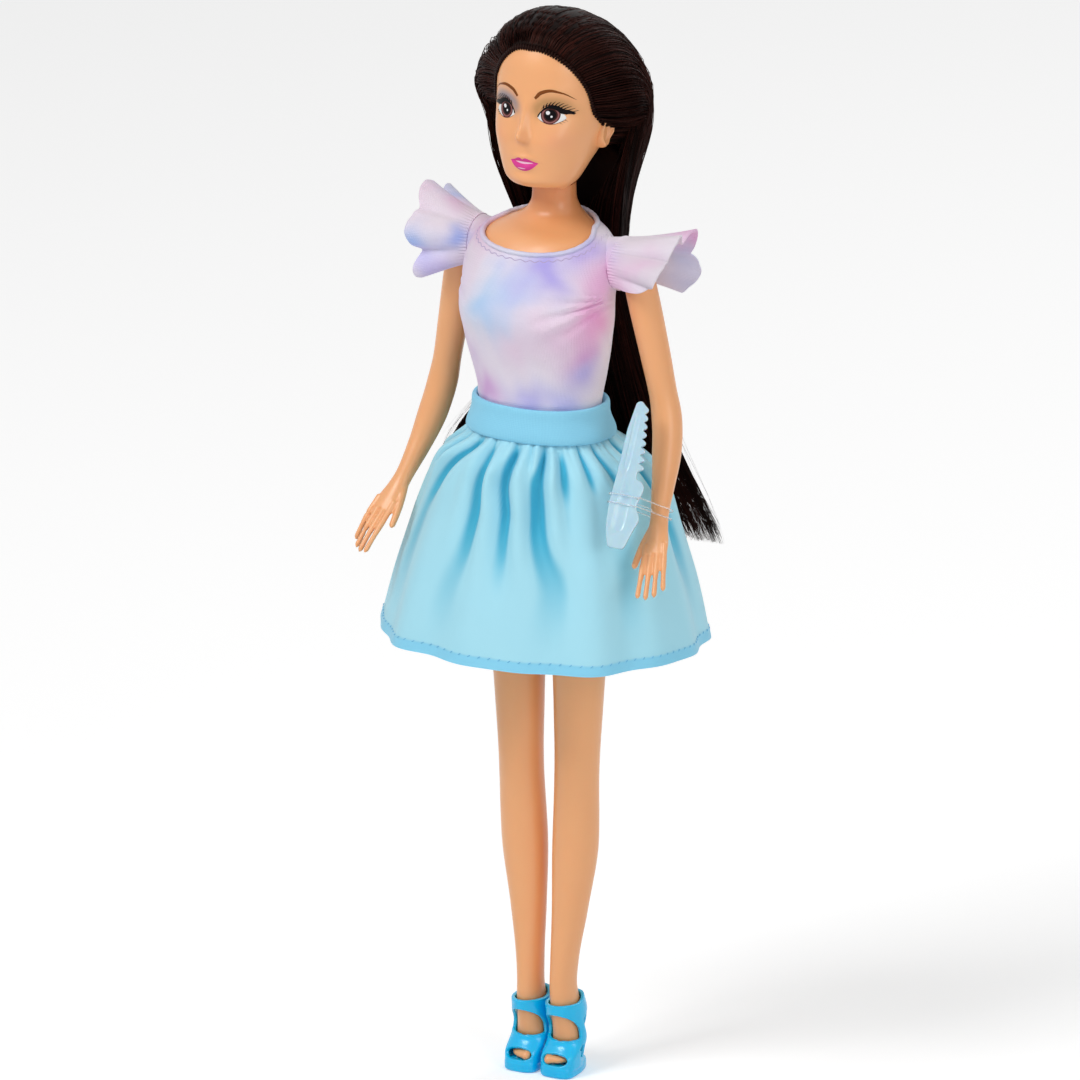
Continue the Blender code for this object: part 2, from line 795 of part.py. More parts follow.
def make_arm(name, side, skin_colour, shoulder_empty):
    """One arm: peg, shoulder ball, arm, palm, four fingers and a thumb, moulded in one."""
    points = arm_path(side)
    across = Vector((side, 0, 0))
    rings = []
    for place in np.linspace(0, 2.47, 19):
        wide_share, deep_share = smooth_row(arm_shares, place)
        here, ahead = path_point(points, place)
        wide = (across - ahead * across.dot(ahead)).normalized()
        deep = ahead.cross(wide)
        half_width, half_depth = wide_share * upper_arm_radius, deep_share * upper_arm_radius
        rings.append([
            tuple(here + wide * half_width * math.cos(t) + deep * half_depth * math.sin(t))
            for t in np.linspace(0, 2 * math.pi, limb_sides, endpoint=False)
        ])
    home = tuple(points[0])
    arm = mesh_object(name, *skin(rings), shoulder_empty, skin_colour, home)

    ball = [
        (-shoulder_ball_radius * math.cos(t), shoulder_ball_radius * math.sin(t))
        for t in np.linspace(0, math.pi, 9)
    ]
    ball[0], ball[-1] = (ball[0][0], 0), (ball[-1][0], 0)
    boolean(arm, cutter(
        name + "_ball", turned(ball, home, (1, 0, 0), (0, 1, 0), limb_sides), shoulder_empty), "UNION")
    peg = ((0, peg_radius), (-shoulder_ball_radius - gap - peg_length, peg_radius))
    boolean(arm, cutter(
        name + "_peg", turned(peg, home, (side, 0, 0), (0, 1, 0), 12), shoulder_empty), "UNION")

    hand = (points[3] - points[2]).normalized()
    wide = (across - hand * across.dot(hand)).normalized()
    down = Vector((0, 0, -1))
    down = (down - hand * down.dot(hand)).normalized()
    knuckles = points[2] + hand * hand_length * 0.38
    reach_shares, curl_shares = (0.62, 0.63, 0.59, 0.50), (0.02, 0.05, 0.08, 0.11)
    for finger in range(4):
        spread = (finger - 1.5) * finger_spacing
        start = knuckles + wide * spread * 0.98
        tip = start + hand * hand_length * reach_shares[finger] + wide * spread * 0.30
        curl = down * hand_length * curl_shares[finger]
        middle = (start + tip) / 2 - curl * 0.4
        line = [start, middle, tip + curl * 0.7, tip + curl + hand * finger_radius * 0.7]
        radii = [finger_radius, finger_radius, finger_radius * 0.86, finger_radius * 0.4]
        rings = tube_rings(line, radii, wide, finger_sides)
        boolean(arm, cutter(
            "%s_finger_%d" % (name, finger + 1), rings, shoulder_empty), "UNION")
    inner = -wide
    start = points[2] + hand * hand_length * 0.10 + inner * palm_half_width * 0.30
    bend = points[2] + hand * hand_length * 0.36 + inner * palm_half_width * 1.32
    tip = points[2] + hand * hand_length * 0.60 + inner * palm_half_width * 1.62
    line = [start, bend, tip, tip + (tip - bend).normalized() * thumb_radius * 0.7]
    radii = [thumb_radius, thumb_radius * 1.1, thumb_radius * 0.9, thumb_radius * 0.4]
    drop = down * palm_half_depth * 0.35
    rings = tube_rings([point + drop for point in line], radii, down, finger_sides)
    boolean(arm, cutter(name + "_thumb", rings, shoulder_empty), "UNION")


def leg_ring(height, side, sides=limb_sides, offset=0.0):
    """A level section of a leg or foot."""
    share = height / leg_height
    centre, width, front, back = smooth_row(leg_shares, share)
    half_width = width * thigh_radius + offset
    front_y, back_y = -front * thigh_radius - offset, back * thigh_radius + offset
    middle, half_depth = (front_y + back_y) / 2, (back_y - front_y) / 2
    return [
        (side * centre * thigh_x + half_width * math.sin(t), middle - half_depth * math.cos(t), height)
        for t in np.linspace(0, 2 * math.pi, sides, endpoint=False)
    ]


def leg_heights(low, high):
    """Heights of the leg's own rows, and half way between them, between two heights."""
    rows = sorted(share[0] * leg_height for share in leg_shares)
    rows += [(a + b) / 2 for a, b in zip(rows, rows[1:]) if b - a > thigh_radius]
    return [low] + [z for z in sorted(rows) if low + gap < z < high - gap] + [high]


def make_leg(name, side, skin_colour, hip_empty):
    """One leg with its turned hip, the bore for the pin and a foot on tiptoe."""
    bottom = sole_thickness + gap
    rings = [leg_ring(height, side) for height in leg_heights(bottom, leg_height)]
    home = (side * hip_inner_x, joint_axis_y, leg_height)
    leg = mesh_object(name, *skin(rings), hip_empty, skin_colour, home)
    start = (side * (hip_inner_x + gap), joint_axis_y, leg_height)
    hip = cutter(
        name + "_hip", turned(hip_rings(0), start, (side, 0, 0), (0, 1, 0), 24), hip_empty)
    boolean(leg, hip, "UNION")
    depth = axle_length / 2 + gap
    bore = ((0, axle_radius + gap), (depth, axle_radius + gap))
    middle = (0, joint_axis_y, leg_height)
    boolean(leg, cutter(
        name + "_bore", turned(bore, middle, (side, 0, 0), (0, 1, 0), 12), hip_empty), "DIFFERENCE")


def make_shoe(name, side, shoe_colour, hip_empty):
    """One moulded sandal: sole, toe strap, side straps, ankle strap and heel band."""
    centre_share = leg_shares[-1][1]
    middle_x = side * centre_share * thigh_x
    outline = []
    for turn in np.linspace(0, 2 * math.pi, 24, endpoint=False):
        reach = (toe_reach if math.cos(turn) > 0 else heel_reach)
        y = -reach * math.copysign(abs(math.cos(turn)) ** 0.7, math.cos(turn))
        narrow = 1 - 0.20 * max(-math.cos(turn), 0)
        side_share = math.copysign(abs(math.sin(turn)) ** 0.7, math.sin(turn))
        outline.append((middle_x + shoe_half_width * narrow * side_share, y))
    edge = sole_thickness * 0.18
    rings = []
    for height, inset in ((0, 0.97), (edge, 1), (sole_thickness - edge, 1), (sole_thickness, 0.95)):
        rings.append([
            (middle_x + (x - middle_x) * inset, y * inset, height) for x, y in outline])
    home = (side * hip_inner_x, joint_axis_y, leg_height)
    shoe = mesh_object(name, *skin(rings), hip_empty, shoe_colour, home)

    low = sole_thickness * 0.7
    heights = leg_heights(low, shoe_height)
    inner = [leg_ring(max(z, sole_thickness), side, offset=shoe_gap) for z in heights]
    inner = [[(x, y, z) for x, y, _ in ring] for ring, z in zip(inner, heights)]
    outer = [leg_ring(max(z, sole_thickness), side, offset=shoe_gap + strap_thickness) for z in heights]
    outer = [[(x, y, z) for x, y, _ in ring] for ring, z in zip(outer, heights)]
    vertices, faces = wall(outer, inner)
    upper = mesh_object(name + "_upper", vertices, faces, hip_empty, None, home)
    upper.hide_render = True
    upper.display_type = "WIRE"

    def front_window(label, height, half_width, half_height, tilt):
        outline = []
        for t in np.linspace(0, 2 * math.pi, 12, endpoint=False):
            across, up = half_width * math.cos(t), half_height * math.sin(t)
            outline.append((across, up - side * across * tilt))
        rings = flat_rings(outline, -toe_reach * 3, joint_axis_y * 0.62,
                           lambda a, u, d: (middle_x + a, d, height + u))
        boolean(upper, cutter(name + label, rings, hip_empty), "DIFFERENCE")

    def side_window(label, corners):
        rings = flat_rings(corners, -shoe_half_width * 1.6, shoe_half_width * 1.6,
                           lambda a, u, d: (middle_x + d, a, u))
        boolean(upper, cutter(name + label, rings, hip_empty), "DIFFERENCE")

    front_window("_instep", shoe_height * 0.615, shoe_half_width * 0.70, shoe_height * 0.125, 0.16)
    front_window("_peep", shoe_height * 0.235, shoe_half_width * 0.52, shoe_height * 0.052, 0.10)
    back = heel_reach
    side_window("_upper_window", (
        (back * 0.48, shoe_height * 0.74), (back * 0.86, shoe_height * 0.80),
        (back * 0.86, shoe_height * 0.50), (back * 0.62, shoe_height * 0.47)))
    side_window("_lower_window", (
        (back * 0.30, shoe_height * 0.40), (back * 0.60, shoe_height * 0.36),
        (back * 0.46, shoe_height * 0.22), (back * 0.33, shoe_height * 0.24)))
    boolean(shoe, upper, "UNION")


def neckline_point(turn, drop, offset):
    """A point of the neck edge on the torso; drop lowers it and offset lifts it off."""
    ahead = (1 + math.cos(turn)) / 2
    front = neck_side_drop + (neck_front_drop - neck_side_drop) * max(math.cos(turn), 0) ** 1.3
    back = neck_side_drop + (neck_back_drop - neck_side_drop) * max(-math.cos(turn), 0) ** 1.3
    height = neck_top_z - (front if ahead > 0.5 else back) - drop
    rings = [torso_ring(z) for z in (height - gap, height, height + gap)]
    grid = offset_grid(rings, offset)[1]
    position = turn / (2 * math.pi) * body_sides
    index = int(math.floor(position)) % body_sides
    share = position - math.floor(position)
    return Vector(grid[index]) * (1 - share) + Vector(grid[(index + 1) % body_sides]) * share


def make_top(knit, binding, tape):
    """The knit top, its neck binding and the closure down its back."""
    low = band_top_z - band_height * 0.72
    high = neck_top_z - neck_back_drop + cut_overrun / 2
    rings = torso_rings(low, high, None)
    inner = offset_grid(rings, cloth_gap)
    outer = offset_grid(rings, cloth_gap + knit_thickness)
    top = mesh_object("top", *wall(outer, inner), None, knit, (0, 0, band_top_z))

    root = Vector((0, joint_axis_y * 0.6, shoulder_z - shoulder_drop * 0.42))
    turns = np.linspace(0, 2 * math.pi, 32, endpoint=False)
    edge = [neckline_point(turn, binding_radius + gap, cloth_gap + knit_thickness) for turn in turns]
    wide = [root + (point - root) * 1.3 for point in edge]
    high = neck_top_z + cut_overrun
    rings = [[tuple(root)], [tuple(p) for p in wide], [(p.x, p.y, high) for p in wide]]
    boolean(top, cutter("neck_opening", rings, None), "DIFFERENCE")
    for name, side in (("right", -1), ("left", 1)):
        hole = ((shoulder_half_width * 0.55, armhole_radius), (shoulder_x, armhole_radius))
        boolean(top, cutter(
            name + "_armhole",
            turned(hole, (0, joint_axis_y, shoulder_z), (side, 0, 0), (0, 1, 0), 24), None), "DIFFERENCE")

    lift = cloth_gap + binding_radius
    path = [neckline_point(turn, 0, lift) for turn in np.linspace(0, 2 * math.pi, 30, endpoint=False)]
    cord_loop("neck_binding", path, binding_radius, 1, None, binding)

    rings = []
    start = band_top_z + band_height * 0.3
    back_lift = cloth_gap + knit_thickness + gap
    for height in np.linspace(start, start + closure_length, 8):
        y = max(point[1] for point in torso_ring(height)) + back_lift
        half = closure_width / 2
        rings.append([
            (-half, y, height), (half, y, height),
            (half, y + closure_thickness, height), (-half, y + closure_thickness, height)])
    mesh_object("top_closure", *skin(rings), None, tape, (0, 0, band_top_z))


def cord_loop(name, path, radius, resolution, parent, colour_of):
    """A closed round cord through its points."""
    home = Vector(parent["home"]) if parent else Vector((0, 0, 0))
    curve = bpy.data.curves.new(name, "CURVE")
    curve.dimensions = "3D"
    curve.bevel_depth = radius
    curve.bevel_resolution = resolution
    spline = curve.splines.new("POLY")
    spline.points.add(len(path) - 1)
    for point, place in zip(spline.points, path):
        point.co = (*(Vector(place) - home), 1)
    spline.use_cyclic_u = True
    return place_object(bpy.data.objects.new(name, curve), parent, colour_of, tuple(home))


def make_waistband(band_colour, tape):
    """The thick knit waistband, its lower edge just above the skirt, and its tab behind."""
    lift = cloth_gap + knit_thickness + gap
    profile = []
    for turn in np.linspace(0, 2 * math.pi, 8, endpoint=False):
        out, up = math.cos(turn), math.sin(turn)
        profile.append((
            lift + band_thickness / 2 * (1 + math.copysign(abs(out) ** 0.55, out)),
            band_top_z - band_height / 2 * (1 - math.copysign(abs(up) ** 0.55, up)),
        ))
    grid = []
    for offset, height in profile:
        grid.append(torso_ring(height, offset=offset))
    vertices, faces = [], []
    columns = body_sides
    for row in grid:
        vertices.extend(row)
    for row in range(len(grid)):
        below = (row + 1) % len(grid)
        for column in range(columns):
            after = (column + 1) % columns
            faces.append((
                row * columns + column, row * columns + after,
                below * columns + after, below * columns + column))
    mesh_object("waistband", vertices, faces, None, band_colour, (0, 0, band_top_z))

    middle = band_top_z - band_height / 2
    heights = (middle - tab_height / 2, middle, middle + tab_height / 2)
    behind = max(point[1] for height in heights for point in torso_ring(height))
    y = behind + lift + band_thickness + gap
    low = (-closure_width * 0.7, y, middle - tab_height / 2)
    high = (closure_width * 0.7, y + closure_thickness, middle + tab_height / 2)
    mesh_object("waistband_tab", *skin(box_rings(low, high)), None, tape, (0, 0, band_top_z))


def skirt_grid():
    """Rows of the skirt's outer surface; its columns sit on the folds' crests and sides."""
    columns = fold_count * 4
    base = np.linspace(0, 2 * math.pi, columns, endpoint=False)
    turns = base + 0.045 * np.sin(3 * base + 0.6) + 0.03 * np.sin(5 * base + 2.0)
    rows = []
    for place, *_ in skirt_shares:
        width, depth, fold = smooth_row(skirt_shares, place)
        height = skirt_top_z - place * skirt_length
        row = []
        for column, turn in enumerate(turns):
            number = column // 4
            size = 1 + 0.3 * math.sin(2.4 * number + 0.8)
            wave = math.cos(column * math.pi / 2) * fold * fold_depth * size
            half_width = width * skirt_half_width + wave
            half_depth = width * depth * skirt_half_width + wave
            x, y = half_width * math.sin(turn), -half_depth * math.cos(turn)
            row.append((x, y, height))
        rows.append(row)
    return rows


def make_skirt(cloth):
    """The gathered skirt, open below, with its main folds."""
    outer = skirt_grid()
    inner = offset_grid(outer, -skirt_thickness)
    inner[0][:, 2] = np.array(outer[0])[:, 2]
    inner[-1][:, 2] = np.array(outer[-1])[:, 2]
    mesh_object("skirt", *wall(outer, inner), None, cloth, (0, 0, skirt_top_z))


def make_frill(name, side, cloth, shoulder_empty):
    """One sleeve frill round the shoulder, open where the arm hangs down."""
    start, end = math.radians(-42), math.radians(222)
    columns = frill_wave_count * 7 + 1
    seam_x = shoulder_half_width + cloth_gap + knit_thickness + gap
    rows = []
    for place in np.linspace(0, 1, 6):
        row = []
        for turn in np.linspace(start, end, columns):
            share = (turn - start) / (end - start)
            wave = math.sin(share * frill_wave_count * 2 * math.pi + 0.9)
            reach = 0.72 + 0.28 * math.sin(share * math.pi)
            radius = frill_seam_radius + frill_flare * place ** 1.2 + frill_wave * wave * place
            x = seam_x + frill_length * reach * place + frill_wave * 0.5 * wave * place * place
            row.append((
                side * x,
                joint_axis_y - radius * math.cos(turn),
                shoulder_z + radius * math.sin(turn),
            ))
        rows.append(row)
    inner = np.array(rows)
    outward = np.array(rows)
    outward[:, :, 0] = 0
    outward[:, :, 1] -= joint_axis_y
    outward[:, :, 2] -= shoulder_z
    outward /= np.linalg.norm(outward, axis=2, keepdims=True)
    outer = inner + outward * frill_thickness
    home = (side * shoulder_x, joint_axis_y, shoulder_z)
    mesh_object(name, *wall(outer, inner, closed_round=False), shoulder_empty, cloth, home)


def comb_frame():
    """The comb's bottom place and its across, up and through directions, beside the wrist."""
    wrist = arm_path(1)[2]
    up = -arm_direction(1, comb_splay, comb_lean)
    across = Vector((math.cos(comb_twist), math.sin(comb_twist), 0))
    across = (across - up * across.dot(up)).normalized()
    through = across.cross(up)
    bottom = wrist - Vector((comb_medial, comb_forward, comb_drop))
    return bottom, across, up, through


def make_comb(clear, tie_colour, shoulder_empty):
    """The small comb and the two clear ties that hold it to the wrist."""
    bottom, across, up, through = comb_frame()
    root, tip, first, last = comb_teeth_shares
    outline = [(a * comb_half_width, u * comb_length) for a, u in comb_handle_shares]
    for tooth in range(tooth_count):
        start = first + (last - first) * tooth / tooth_count
        end = first + (last - first) * (tooth + 1) / tooth_count
        lean = 1 - 0.45 * (tooth + 0.5) / tooth_count
        base = root * lean * comb_half_width
        for share, out in ((0.0, 0.0), (0.25, 0.85), (0.5, 1.0), (0.75, 0.85)):
            outline.append((base + out * tooth_depth, (start + (end - start) * share) * comb_length))
    outline += [(a * comb_half_width, u * comb_length) for a, u in comb_back_shares]

    def place(a, u, depth):
        return tuple(bottom + across * a + up * u + through * depth)

    half = comb_thickness / 2
    rings = flat_rings(outline, -half, half, place)
    home = (shoulder_x, joint_axis_y, shoulder_z)
    mesh_object("comb", *skin(rings), shoulder_empty, clear, home)

    wrist = arm_path(1)[2]
    for number, lift in ((1, 0.0), (2, tie_spacing)):
        centre = wrist + up * lift
        over = (centre - bottom).dot(up)
        room = gap * 2.6 + tie_radius
        corners = []
        for t in np.linspace(0, 2 * math.pi, 24, endpoint=False):
            radius = upper_arm_radius * 0.66 + room
            corners.append((radius * math.cos(t), radius * math.sin(t)))
        offset = bottom + up * over - centre
        side, deep = offset.dot(across), offset.dot(through)
        for sign_a in (-1, 1):
            for sign_d in (-1, 1):
                middle_a = side + sign_a * comb_half_width
                middle_d = deep + sign_d * half
                for t in np.linspace(0, 2 * math.pi, 12, endpoint=False):
                    corners.append((middle_a + room * math.cos(t), middle_d + room * math.sin(t)))
        loop = even_loop(hull(corners), 18)
        path = [centre + across * a + through * d for a, d in loop]
        cord_loop("wrist_tie_%d" % number, path, tie_radius, 1, shoulder_empty, tie_colour)


def hull(points):
    """The outer corners of a set of points, in order."""
    ordered = sorted(set(points))
    sides = []
    for sequence in (ordered, ordered[::-1]):
        chain = []
        for point in sequence:
            while len(chain) > 1:
                (ax, ay), (bx, by) = chain[-2], chain[-1]
                if (bx - ax) * (point[1] - ay) - (by - ay) * (point[0] - ax) > 0:
                    break
                chain.pop()
            chain.append(point)
        sides.append(chain[:-1])
    return sides[0] + sides[1]


def even_loop(corners, count):
    """Points evenly spaced round a closed outline."""
    points = np.array(corners + corners[:1])
    lengths = np.concatenate([[0], np.cumsum(np.linalg.norm(np.diff(points, axis=0), axis=1))])
    places = np.linspace(0, lengths[-1], count, endpoint=False)
    return [
        (float(np.interp(p, lengths, points[:, 0])), float(np.interp(p, lengths, points[:, 1])))
        for p in places
    ]


def build():
    """Builds every piece, the fixed ones first."""
    for old in list(bpy.data.objects):
        bpy.data.objects.remove(old, do_unlink=True)
    skin_colour = material("skin vinyl", (0.72, 0.40, 0.22), 0.38)
    plain = material("joint plastic", (0.78, 0.66, 0.55), 0.5)
    hair_colour = material("dark brown hair", (0.035, 0.014, 0.010), 0.42)
    knit = material("pastel knit", (0.78, 0.66, 0.84), 0.85)
    blue_cloth = material("sky blue cloth", (0.33, 0.72, 0.88), 0.7)
    band_colour = material("light blue knit", (0.36, 0.66, 0.84), 0.8)
    tape = material("pale closure tape", (0.72, 0.82, 0.90), 0.9)
    shoe_colour = material("bright blue vinyl", (0.0, 0.46, 0.86), 0.25)
    clear = material("pale blue comb plastic", (0.62, 0.80, 0.90), 0.2)
    tie_colour = material("clear tie", (0.85, 0.85, 0.82), 0.15)

    neck = joint_empty("neck_axis", (0, neck_axis_y, neck_top_z))
    make_torso(skin_colour)
    make_joint_parts(plain)
    make_head(skin_colour, neck)
    make_hair(hair_colour, neck)
    make_top(knit, knit, tape)
    make_waistband(band_colour, tape)
    make_skirt(blue_cloth)
    for name, side in (("right", -1), ("left", 1)):
        shoulder = joint_empty(name + "_shoulder_axis", (side * shoulder_x, joint_axis_y, shoulder_z))
        hip = joint_empty(name + "_hip_axis", (side * hip_inner_x, joint_axis_y, leg_height))
        make_arm(name + "_arm", side, skin_colour, shoulder)
        make_frill(name + "_sleeve_frill", side, knit, shoulder)
        make_leg(name + "_leg", side, skin_colour, hip)
        make_shoe(name + "_sandal", side, shoe_colour, hip)
        if side > 0:
            make_comb(clear, tie_colour, shoulder)


build()
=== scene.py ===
import math

import bpy
import bmesh
import numpy as np
from mathutils import Matrix, Vector


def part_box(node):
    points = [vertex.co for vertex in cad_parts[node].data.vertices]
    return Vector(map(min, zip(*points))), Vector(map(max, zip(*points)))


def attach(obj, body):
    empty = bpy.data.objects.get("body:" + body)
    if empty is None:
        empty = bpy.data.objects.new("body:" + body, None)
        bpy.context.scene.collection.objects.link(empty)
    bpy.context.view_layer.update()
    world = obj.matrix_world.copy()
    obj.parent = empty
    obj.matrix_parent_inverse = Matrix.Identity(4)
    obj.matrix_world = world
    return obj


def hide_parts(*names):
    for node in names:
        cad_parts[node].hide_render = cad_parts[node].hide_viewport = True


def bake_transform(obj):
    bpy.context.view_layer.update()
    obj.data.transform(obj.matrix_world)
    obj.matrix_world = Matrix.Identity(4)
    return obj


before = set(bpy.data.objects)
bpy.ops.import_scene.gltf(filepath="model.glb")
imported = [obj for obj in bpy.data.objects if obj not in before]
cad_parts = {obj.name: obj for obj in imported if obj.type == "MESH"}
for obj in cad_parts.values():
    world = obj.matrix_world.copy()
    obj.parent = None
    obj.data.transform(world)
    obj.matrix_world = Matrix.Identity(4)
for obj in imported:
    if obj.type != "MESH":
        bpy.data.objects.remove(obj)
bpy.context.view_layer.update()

# Shapes are worked out in millimetres; a finished piece is brought to metres at its end.
mm = 0.001
bothSides = (("right", -1), ("left", 1))
scene = bpy.context.scene
scene.view_settings.view_transform = "Standard"

# Heights of the body's own frame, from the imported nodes
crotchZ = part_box("torso_front")[0].z / mm
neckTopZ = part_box("torso_front")[1].z / mm
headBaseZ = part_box("head")[0].z / mm
axisY = 5.0
shoulderZ = neckTopZ - 18.7
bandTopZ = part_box("waistband")[1].z / mm
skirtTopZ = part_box("skirt")[1].z / mm
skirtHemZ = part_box("skirt")[0].z / mm


# Small tools: curves through rows, meshes from grids, pieces and materials

def smoothRows(table, places):
    # Hermite curve through the rows; a row's slope is the harmonic mean of its two sides
    rows = np.array(sorted(table), float)
    x, y = rows[:, 0], rows[:, 1:]
    places = np.clip(np.asarray(places, float), x[0], x[-1])
    index = np.clip(np.searchsorted(x, places, side="right") - 1, 0, len(x) - 2)
    step = np.diff(x)[:, None]
    slope = np.diff(y, axis=0) / step
    low, high = slope[:-1], slope[1:]
    same = low * high > 0
    middle = np.where(same, 2 * low * high / np.where(same, low + high, 1), 0)
    tangent = np.concatenate([slope[:1], middle, slope[-1:]])
    t = ((places - x[index]) / step[index, 0])[..., None]
    width = step[index]
    return ((2 * t**3 - 3 * t**2 + 1) * y[index] + (t**3 - 2 * t**2 + t) * width * tangent[index]
            + (3 * t**2 - 2 * t**3) * y[index + 1] + (t**3 - t**2) * width * tangent[index + 1])


def roundTurns(count):
    # angles once round, the last one short of the first
    return np.linspace(0, 2 * math.pi, count, endpoint=False)


def gridOf(first, second):
    return np.meshgrid(first, second, indexing="ij")


def unit(vectors):
    return vectors / np.maximum(np.linalg.norm(vectors, axis=-1, keepdims=True), 1e-9)


def signedPower(value, power):
    return np.sign(value) * np.abs(value) ** power


def softStep(value, start, end):
    # 0 before start, 1 after end, smooth between
    t = np.clip((value - start) / (end - start), 0, 1)
    return t * t * (3 - 2 * t)


def bell(value, width):
    # 1 in the middle, falling off softly on both sides
    return np.exp(-(value / width) ** 2)


def gridFaces(rows, columns, closedRound, offset=0):
    number = np.arange(rows * columns).reshape(rows, columns) + offset
    if closedRound:
        number = np.concatenate([number, number[:, :1]], axis=1)
    corners = (number[:-1, :-1], number[:-1, 1:], number[1:, 1:], number[1:, :-1])
    return np.stack(corners, -1).reshape(-1, 4)


def ringFaces(count, sides):
    # faces of a tube whose last ring meets its first
    return gridFaces(count + 1, sides, True) % (count * sides)


def closedFaces(opened):
    # which faces of a closed round grid have no corner in the opening
    after = np.roll(opened, -1, 1)
    return ~(opened[:-1] | after[:-1] | opened[1:] | after[1:])


def closedLoft(points):
    # vertices and faces of a closed body through rings, with a middle point at each end
    rows, columns = points.shape[:2]
    ends = np.stack([points[0].mean(0), points[-1].mean(0)])
    vertices = np.concatenate([points.reshape(-1, 3), ends])
    faces = gridFaces(rows, columns, True).tolist()
    ring = np.arange(columns)
    after = np.roll(ring, -1)
    first, last = rows * columns, rows * columns + 1
    faces += np.stack([after, ring, np.full(columns, first)], -1).tolist()
    top = (rows - 1) * columns
    faces += np.stack([ring + top, after + top, np.full(columns, last)], -1).tolist()
    return vertices, faces


def meshObject(name, vertices, faces):
    mesh = bpy.data.meshes.new(name)
    mesh.from_pydata(np.asarray(vertices, float).tolist(), [], [list(f) for f in faces])
    made = bpy.data.objects.new(name, mesh)
    scene.collection.objects.link(made)
    return made


def joinParts(name, parts):
    # one object of several closed bodies
    vertices, faces, start = [], [], 0
    for points, sides in parts:
        vertices.append(points)
        faces += [[index + start for index in face] for face in sides]
        start += len(points)
    return meshObject(name, np.concatenate(vertices), faces)


def outward(made):
    shape = bmesh.new()
    shape.from_mesh(made.data)
    bmesh.ops.recalc_face_normals(shape, faces=shape.faces)
    shape.to_mesh(made.data)
    shape.free()
    return made


def applyModifiers(made):
    bpy.context.view_layer.update()
    ready = made.evaluated_get(bpy.context.evaluated_depsgraph_get())
    fresh = bpy.data.meshes.new_from_object(ready)
    made.modifiers.clear()
    made.data = fresh
    return made


def remesh(made, voxel, rounds):
    # one skin over all the bodies in the object, then rounds of smoothing
    step = made.modifiers.new("skin", "REMESH")
    step.mode = "VOXEL"
    step.voxel_size = voxel
    soft = made.modifiers.new("soft", "SMOOTH")
    soft.factor = 0.5
    soft.iterations = rounds
    return applyModifiers(made)


def cut(made, others):
    for other in others:
        step = made.modifiers.new("cut", "BOOLEAN")
        step.operation = "DIFFERENCE"
        step.solver = "EXACT"
        step.object = outward(other)
    applyModifiers(made)
    for other in others:
        bpy.data.objects.remove(other)
    return made


def thicken(made, wall, side=-1.0):
    step = made.modifiers.new("wall", "SOLIDIFY")
    step.thickness = wall
    step.offset = side
    return applyModifiers(made)


def vertexPlaces(made):
    places = np.zeros(len(made.data.vertices) * 3, np.float32)
    made.data.vertices.foreach_get("co", places)
    return places.reshape(-1, 3)


def addUv(made, places):
    # a UV map from one place (across, up) for each vertex, in millimetres
    layer = made.data.uv_layers.new(name="place")
    corner = np.zeros(len(made.data.loops), np.int32)
    made.data.loops.foreach_get("vertex_index", corner)
    layer.data.foreach_set("uv", np.asarray(places, np.float32)[corner].ravel())


def addValue(made, name, values):
    layer = made.data.attributes.new(name, "FLOAT", "POINT")
    layer.data.foreach_set("value", np.asarray(values, np.float32))


def addColour(made, name, colours):
    layer = made.data.attributes.new(name, "FLOAT_COLOR", "POINT")
    full = np.ones((len(made.data.vertices), 4), np.float32)
    full[:, :3] = colours
    layer.data.foreach_set("color", full.ravel())


def finishPiece(made, material, body, replaced=(), sharp=None):
    # brings the piece to metres, shades it smooth and hangs it on its body
    made.data.transform(Matrix.Scale(mm, 4))
    made.data.shade_smooth()
    if sharp:
        made.data.set_sharp_from_angle(angle=math.radians(sharp))
    made.data.materials.clear()
    made.data.materials.append(material)
    if body:
        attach(made, body)
    if replaced:
        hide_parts(*replaced)
    return made


def tubeParts(path, radius, sides):
    # closed tubes along many paths at once: path[strand, step, xyz], radius[strand, step];
    # a ring is path + radius (cos t * side + sin t * up) with side and up square to the path
    strands, steps = path.shape[:2]
    ahead = unit(np.gradient(path, axis=1))
    hint = np.where(np.abs(ahead[..., 2:]) < 0.8, [0.0, 0.0, 1.0], [1.0, 0.0, 0.0])
    side = unit(np.cross(ahead, hint))
    up = np.cross(side, ahead)
    turn = roundTurns(sides)
    ring = (side[:, :, None] * np.cos(turn)[None, None, :, None]
            + up[:, :, None] * np.sin(turn)[None, None, :, None])
    points = path[:, :, None] + ring * radius[:, :, None, None]
    vertices = points.reshape(-1, 3)
    one = gridFaces(steps, sides, True)
    shift = (np.arange(strands) * steps * sides)[:, None, None]
    faces = (one[None] + shift).reshape(-1, 4).tolist()
    low = np.arange(sides)[::-1]
    high = np.arange(sides) + (steps - 1) * sides
    for cap in (low, high):
        faces += (cap[None] + shift[:, :, 0]).tolist()
    return vertices, faces


def setSocket(tree, socket, value):
    # a plain value, or a link where the value is another node's socket
    if isinstance(value, bpy.types.NodeSocket):
        tree.links.new(value, socket)
    else:
        socket.default_value = value


def addNode(tree, kind, settings=None, **inputs):
    # a node; an input's name is written with _ for a space
    made = tree.nodes.new(kind)
    for name, value in (settings or {}).items():
        setattr(made, name, value)
    for name, value in inputs.items():
        setSocket(tree, made.inputs[name.replace("_", " ")], value)
    return made


def newMaterial(name, colour, roughness, **sockets):
    made = bpy.data.materials.new(name)
    made.use_nodes = True
    shader = made.node_tree.nodes["Principled BSDF"]
    shader.inputs["Base Color"].default_value = (*colour, 1)
    shader.inputs["Roughness"].default_value = roughness
    for socket, value in sockets.items():
        shader.inputs[socket.replace("_", " ")].default_value = value
    return made, made.node_tree


